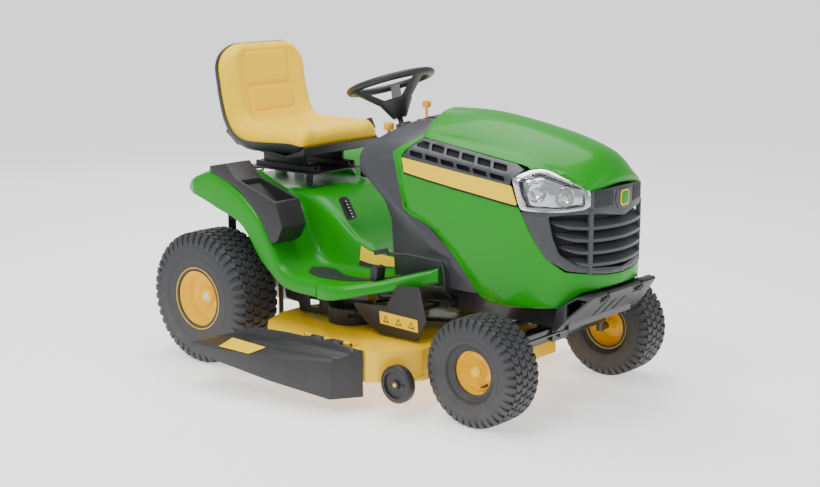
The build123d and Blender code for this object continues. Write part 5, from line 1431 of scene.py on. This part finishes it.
def dash():
    """Dash tower with its lower rear edge raked forward."""
    tower = refine("dash_tower", SATIN, "chassis", "black_plastic", 3.0)
    for vertex in tower.data.vertices:
        x = (vertex.co.x - ORIGIN.x) / MM
        z = vertex.co.z / MM
        share = max(0.0, min(1.0, (790 - x) / 190))
        vertex.co.x += DASH_BACK(z) * share * MM


dash()
refine("storage_tray", BLACK, "chassis", "black_plastic", 16.0, 4)
refine("bumper", BLACK, "chassis", "black_plastic", 2.5)
refine("side_shields", BLACK, "chassis", "black_plastic", 1.5)


def gauge_plate():
    """Slotted height gauge let into the tunnel's side, with raised marks beside the slot."""
    pieces = []
    outline = rounded([(440, 640), (484, 652), (532, 576), (486, 560)], 14, 5)
    slot = rounded([(462, 628), (474, 631), (506, 580), (494, 576)], 5, 4)
    flat, faces = flat_patch(outline, [slot], 12)
    plate = make("gauge_plate", [spot(p[0], -202.5 - 0.02 * (640 - p[1]), p[1]) for p in flat], faces,
                 BLACK)
    pieces.append(thicken(plate, 6, 1.2, inward=True))
    back, faces = flat_patch(slot, [], 12)
    # A near-black sheet behind the slot: painted shade in the slot.
    pieces.append(make("gauge_back", [spot(p[0], -199.0 - 0.02 * (640 - p[1]), p[1]) for p in back], faces,
                       PAINTED_SHADE))
    for k in range(6):
        x, z = 480 + 7 * k, 632 - 10.5 * k
        mark = make("mark",
                    [spot(x + a, -206.5 - 0.02 * (640 - z) + b, z + c) for a in (0, 7) for b in (0,
                            3) for c in (0, 2)],
                    [(0, 1, 3, 2), (4, 6, 7, 5), (0, 4, 5, 1), (2, 3, 7, 6), (0, 2, 6, 4), (1, 5, 7, 3)],
                    TANK)
        pieces.append(mark)
    for piece in pieces:
        ride(piece, "chassis", "black_plastic", *(("height_gauge",) if piece is pieces[0] else ()))


gauge_plate()

# CAD pieces that keep their shape: node, finish, body, slot, edge radius in millimetres, edge steps
KEPT_SHAPES = (
    ("frame", STEEL_BLACK, "chassis", "black_steel", 0.0, 2),
    ("hitch_plate", STEEL_BLACK, "chassis", "black_steel", 0.8, 2),
    ("transaxle_case", CAST, "chassis", "cast_metal", 2.0, 2),
    ("transaxle_pulley", BRIGHT, "drive_pulley", "bright_steel", 0.0, 2),
    ("traction_belt", BELT, "chassis", "belt_rubber", 0.0, 2),
    ("crank_pulleys", BRIGHT, "crank", "bright_steel", 0.0, 2),
    ("engine_block", CAST, "chassis", "cast_metal", 2.0, 2),
    ("blower_housing", BLACK, "chassis", "black_steel", 0.0, 2),
    ("muffler", STEEL_BLACK, "chassis", "bright_steel", 2.0, 2),
    ("air_cleaner", BLACK, "chassis", "black_plastic", 2.0, 2),
    ("battery", BLACK, "chassis", "black_steel", 2.0, 2),
    ("fuel_tank", TANK, "chassis", "white_plastic", 0.0, 2),
    ("fuel_cap", BLACK, "fuel_cap_body", "black_plastic", 1.0, 2),
    ("pto_knob", AMBER, "pto", "yellow_plastic", 0.0, 2),
    ("ignition_key", SMOKE, "key", "clear_lens", 0.0, 2),
    ("throttle_lever", ORANGE, "throttle", "orange_plastic", 0.0, 2),
    ("steering_wheel", BLACK, "steering", "black_plastic", 2.0, 2),
    ("sector_gear", STEEL_BLACK, "sector", "black_steel", 0.0, 2),
    ("drag_link", STEEL_BLACK, "drag", "black_steel", 0.0, 2),
    ("tie_rod", STEEL_BLACK, "tie", "black_steel", 0.0, 2),
    ("front_axle", STEEL_BLACK, "axle", "black_steel", 1.5, 2),
    ("spindle_left", STEEL_BLACK, "spindle_l", "black_steel", 0.0, 2),
    ("spindle_right", STEEL_BLACK, "spindle_r", "black_steel", 0.0, 2),
    ("seat_bracket", BLACK, "seat_base", "black_plastic", 1.0, 2),
    ("seat_springs", BRIGHT, "chassis", "bright_steel", 0.0, 2),
    ("seat_pan", BLACK, "seat", "black_plastic", 4.0, 2),
    ("deck_shell", YELLOW, "deck", "yellow_paint", 5.0, 3),
    ("belt_covers", BLACK, "deck", "black_plastic", 2.5, 2),
    ("mower_belt", BELT, "deck", "belt_rubber", 0.0, 2),
    ("deflector", BLACK, "chute", "black_plastic", 6.0, 3),
    ("blade_right", BRIGHT, "cutter_r", "bright_steel", 0.5, 2),
    ("blade_left", BRIGHT, "cutter_l", "bright_steel", 0.5, 2),
    ("gauge_wheel_right", BLACK, "gauge_r", "grey_plastic", 0.0, 2),
    ("gauge_wheel_left", BLACK, "gauge_l", "grey_plastic", 0.0, 2),
    ("lift_lever", STEEL_BLACK, "lift", "black_steel", 1.0, 2),
    ("forward_pedal", BLACK, "pedal_forward", "black_steel", 1.5, 2),
    ("reverse_pedal", BLACK, "pedal_reverse", "black_plastic", 1.5, 2),
    ("brake_pedal", BLACK, "pedal_brake", "black_steel", 1.5, 2),
)
for kept_row in KEPT_SHAPES:
    refine(*kept_row)


# =============================================================================================
# labels
# =============================================================================================
def label(name, corner, along, down, body, marks=3, lift=0.0):
    """Yellow plate with plain triangles; corner, along and down in millimetres."""
    a = spot(*corner)
    u = Vector(along) * MM
    v = Vector(down) * MM
    normal = v.cross(u).normalized()
    if lift < 0:
        normal = -normal
    pieces = []

    def plate(points, height, material, tag):
        base = [a + u * p[0] + v * p[1] for p in points]
        top = [p + normal * height * MM for p in base]
        n = len(base)
        faces = [tuple(range(n)), tuple(range(n, 2 * n))] + [(i, (i + 1) % n, n + (i + 1) % n,
                                                              n + i) for i in range(n)]
        return make(tag, base + top, faces, material, 30)

    pieces.append(plate(rounded([(0, 0), (1, 0), (1, 1), (0, 1)], 0.04, 3), 0.8, DECAL, "plate"))
    aspect = v.length / u.length
    for k in range(marks):
        centre = (k + 0.5) / marks
        size = 0.30 * aspect
        triangle = [(centre - size, 0.80), (centre + size, 0.80), (centre, 0.22)]
        pieces.append(plate(triangle, 1.1, BLACK, "mark"))
        inner = [(centre - size * 0.62, 0.71), (centre + size * 0.62, 0.71), (centre, 0.40)]
        pieces.append(plate(inner, 1.3, DECAL, "mark_in"))
    whole = join(name, pieces)
    ride(whole, body, "yellow_plastic")


def surface(node):
    """Finds heights of a CAD node's top."""
    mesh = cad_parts[node].data
    tree = BVHTree.FromPolygons([v.co for v in mesh.vertices], [p.vertices for p in mesh.polygons])

    def height(x, y):
        start = spot(x, y, 1500)
        hit = tree.ray_cast(start, Vector((0, 0, -1)))[0]
        return None if hit is None else hit.z / MM
    return height


def chute_ribs():
    """Long soft ribs down the deflector's top, and its label."""
    top = surface("deflector")
    pieces = []
    for tall, line in ((20.0, ((846, -566), (700, -568), (430, -572), (262, -570))),
                       (11.0, ((812, -612), (640, -632), (520, -634), (420, -628)))):
        path = [p for p in spline(list(line), 10) if top(*p) is not None]
        sections = []
        for i, (x, y) in enumerate(path):
            t = i / (len(path) - 1)
            grow_up = math.sin(math.pi * min(1.0, max(0.0, t))) ** 0.35 * tall
            z = top(x, y)
            row = []
            for k in range(9):
                a = (k / 8 - 0.5) * 2
                side_y = y + 15 * a
                ground = top(x, side_y)
                ground = z if ground is None or abs(ground - z) > 25 else ground
                row.append(spot(x, side_y, ground - 0.6 + grow_up * 0.5 * (1 + math.cos(math.pi * a))))
            sections.append(row)
        rib = loft("rib", sections, BLACK, 60)
        thicken(rib, 1.5, 0.0, 60)
        pieces.append(rib)
    ride(join("deflector_ribs", pieces), "chute", "black_plastic")
    outline = [(505, -648), (330, -640), (322, -700), (470, -700)]
    plate = slab("deflector_label", outline, lambda x, y: (top(x, min(max(y, -695), -560)) or 150) + 3.2,
                 DECAL, 1.0, 18, 4)
    ride(plate, "chute", "yellow_plastic")


chute_ribs()


def tunnel_decal():
    """Yellow wedge with a black one under it, on the side of the tunnel."""
    for side in (-1, 1):
        high, low = [], []
        for k in range(13):
            x = 548 + 16 * k
            section = fender_section(x, 0, 1)
            face = [((p.x - ORIGIN.x) / MM, (p.y - ORIGIN.y) / MM, p.z / MM) for p in section[5:11]]

            def at_share(q):
                i = min(int(q * 5), 4)
                f = q * 5 - i
                return [face[i][c] + (face[i + 1][c] - face[i][c]) * f for c in range(3)]
            high.append([at_share(0.02 + 0.10 * j) for j in range(5)])
            low.append([at_share(0.42 + 0.08 * j * (1 - k / 12)) for j in range(3)])
        for rows, material, name, slot in ((high, DECAL, "tunnel_decal", "yellow_plastic"), (low, BLACK,
                "tunnel_wedge", "black_plastic")):
            sections = [[spot(x, side * (y + 1.6), z + 1.2) for x, y, z in row] for row in rows]
            strip = loft(name, sections, material, 60)
            ride(thicken(strip, 0.8, 0.0, 60), "chassis", slot)


def side_plate():
    """Hanging side plate behind the footrest, with its window."""
    for side in (-1, 1):
        outline = [(252, 300), (330, 316), (470, 312), (470, 222), (330, 216), (322, 250), (258, 256)]
        window = rounded([(382, 292), (426, 290), (428, 240), (384, 240)], 6, 4)
        flat, faces = flat_patch(rounded(outline, 10), [window], 30)
        plate = make("side_plate", [spot(p[0], side * 296, p[1]) for p in flat], faces, BLACK)
        ride(thicken(plate, 3, 0.8), "chassis", "black_steel")


side_plate()
tunnel_decal()
label("shield_label", (775, -358.4, 300), (172, 0, -6), (4, 0, -44), "chassis", 3)


# =============================================================================================
# floor, light and camera
# =============================================================================================
VIEW_ANGLES = (39.98, 11.60, -0.04)   # azimuth, elevation and roll, degrees
EYE = (4117.3, -4177.9, 1580.3)
FOCAL_LENGTH = 65.96
SENSOR_WIDTH = 36.0
FLOOR_REACH = 60.0                    # metres


def sheet(name, corners, glow, tone):
    """Plain pale surface that glows a little."""
    mesh = bpy.data.meshes.new(name)
    mesh.from_pydata(corners, [], [(0, 1, 2, 3)])
    pale = finish(name + "_pale", (tone, tone, tone), 0.7, amount=0.02, height=0.0, specular=0.1)
    shader = pale.node_tree.nodes["Principled BSDF"]
    shader.inputs["Emission Color"].default_value = (1, 1, 1, 1)
    shader.inputs["Emission Strength"].default_value = glow
    mesh.materials.append(pale)
    obj = bpy.data.objects.new(name, mesh)
    bpy.context.scene.collection.objects.link(obj)


def stage():
    """Floor, world and soft lamps."""
    reach = FLOOR_REACH
    sheet("floor", [(-reach, -reach, 0), (reach, -reach, 0), (reach, reach, 0), (-reach, reach, 0)], 0.8,
          0.9)
    world = bpy.data.worlds.new("studio")
    world.use_nodes = True
    world.node_tree.nodes["Background"].inputs["Color"].default_value = (0.96, 0.965, 0.97, 1)
    world.node_tree.nodes["Background"].inputs["Strength"].default_value = 0.7
    bpy.context.scene.world = world
    for name, place, size, power in (("key", (0.2, -3.6, 4.4), 2.0, 120.0), ("fill", (4.6, 0.6, 2.6), 2.6,
            30.0),
                                     ("top", (-0.6, 0.3, 4.4), 3.0, 150.0), ("rear", (-4.0, 2.4, 2.8), 2.6,
                                             40.0)):
        lamp = bpy.data.lights.new(name, "AREA")
        lamp.shape = "SQUARE"
        lamp.size = size
        lamp.energy = power
        obj = bpy.data.objects.new(name, lamp)
        obj.location = place
        obj.rotation_euler = (Vector((0, 0, 0.5)) - Vector(place)).to_track_quat("-Z", "Y").to_euler()
        bpy.context.scene.collection.objects.link(obj)


def camera():
    """The view the machine is matched to."""
    azimuth, elevation, roll = (math.radians(angle) for angle in VIEW_ANGLES)
    eye = spot(*EYE)
    back = Vector((math.sin(azimuth) * math.cos(elevation), -math.cos(azimuth) * math.cos(elevation),
                   math.sin(elevation)))
    right = Vector((math.cos(azimuth), math.sin(azimuth), 0))
    up = back.cross(right)
    turn = Matrix((right, up, back)).transposed() @ Matrix.Rotation(roll, 3, "Z")
    lens = bpy.data.cameras.new("view")
    lens.sensor_width = SENSOR_WIDTH
    lens.lens = FOCAL_LENGTH
    lens.clip_end = 100
    obj = bpy.data.objects.new("view", lens)
    obj.matrix_world = Matrix.Translation(eye) @ turn.to_4x4()
    bpy.context.scene.collection.objects.link(obj)
    bpy.context.scene.camera = obj


stage()
camera()
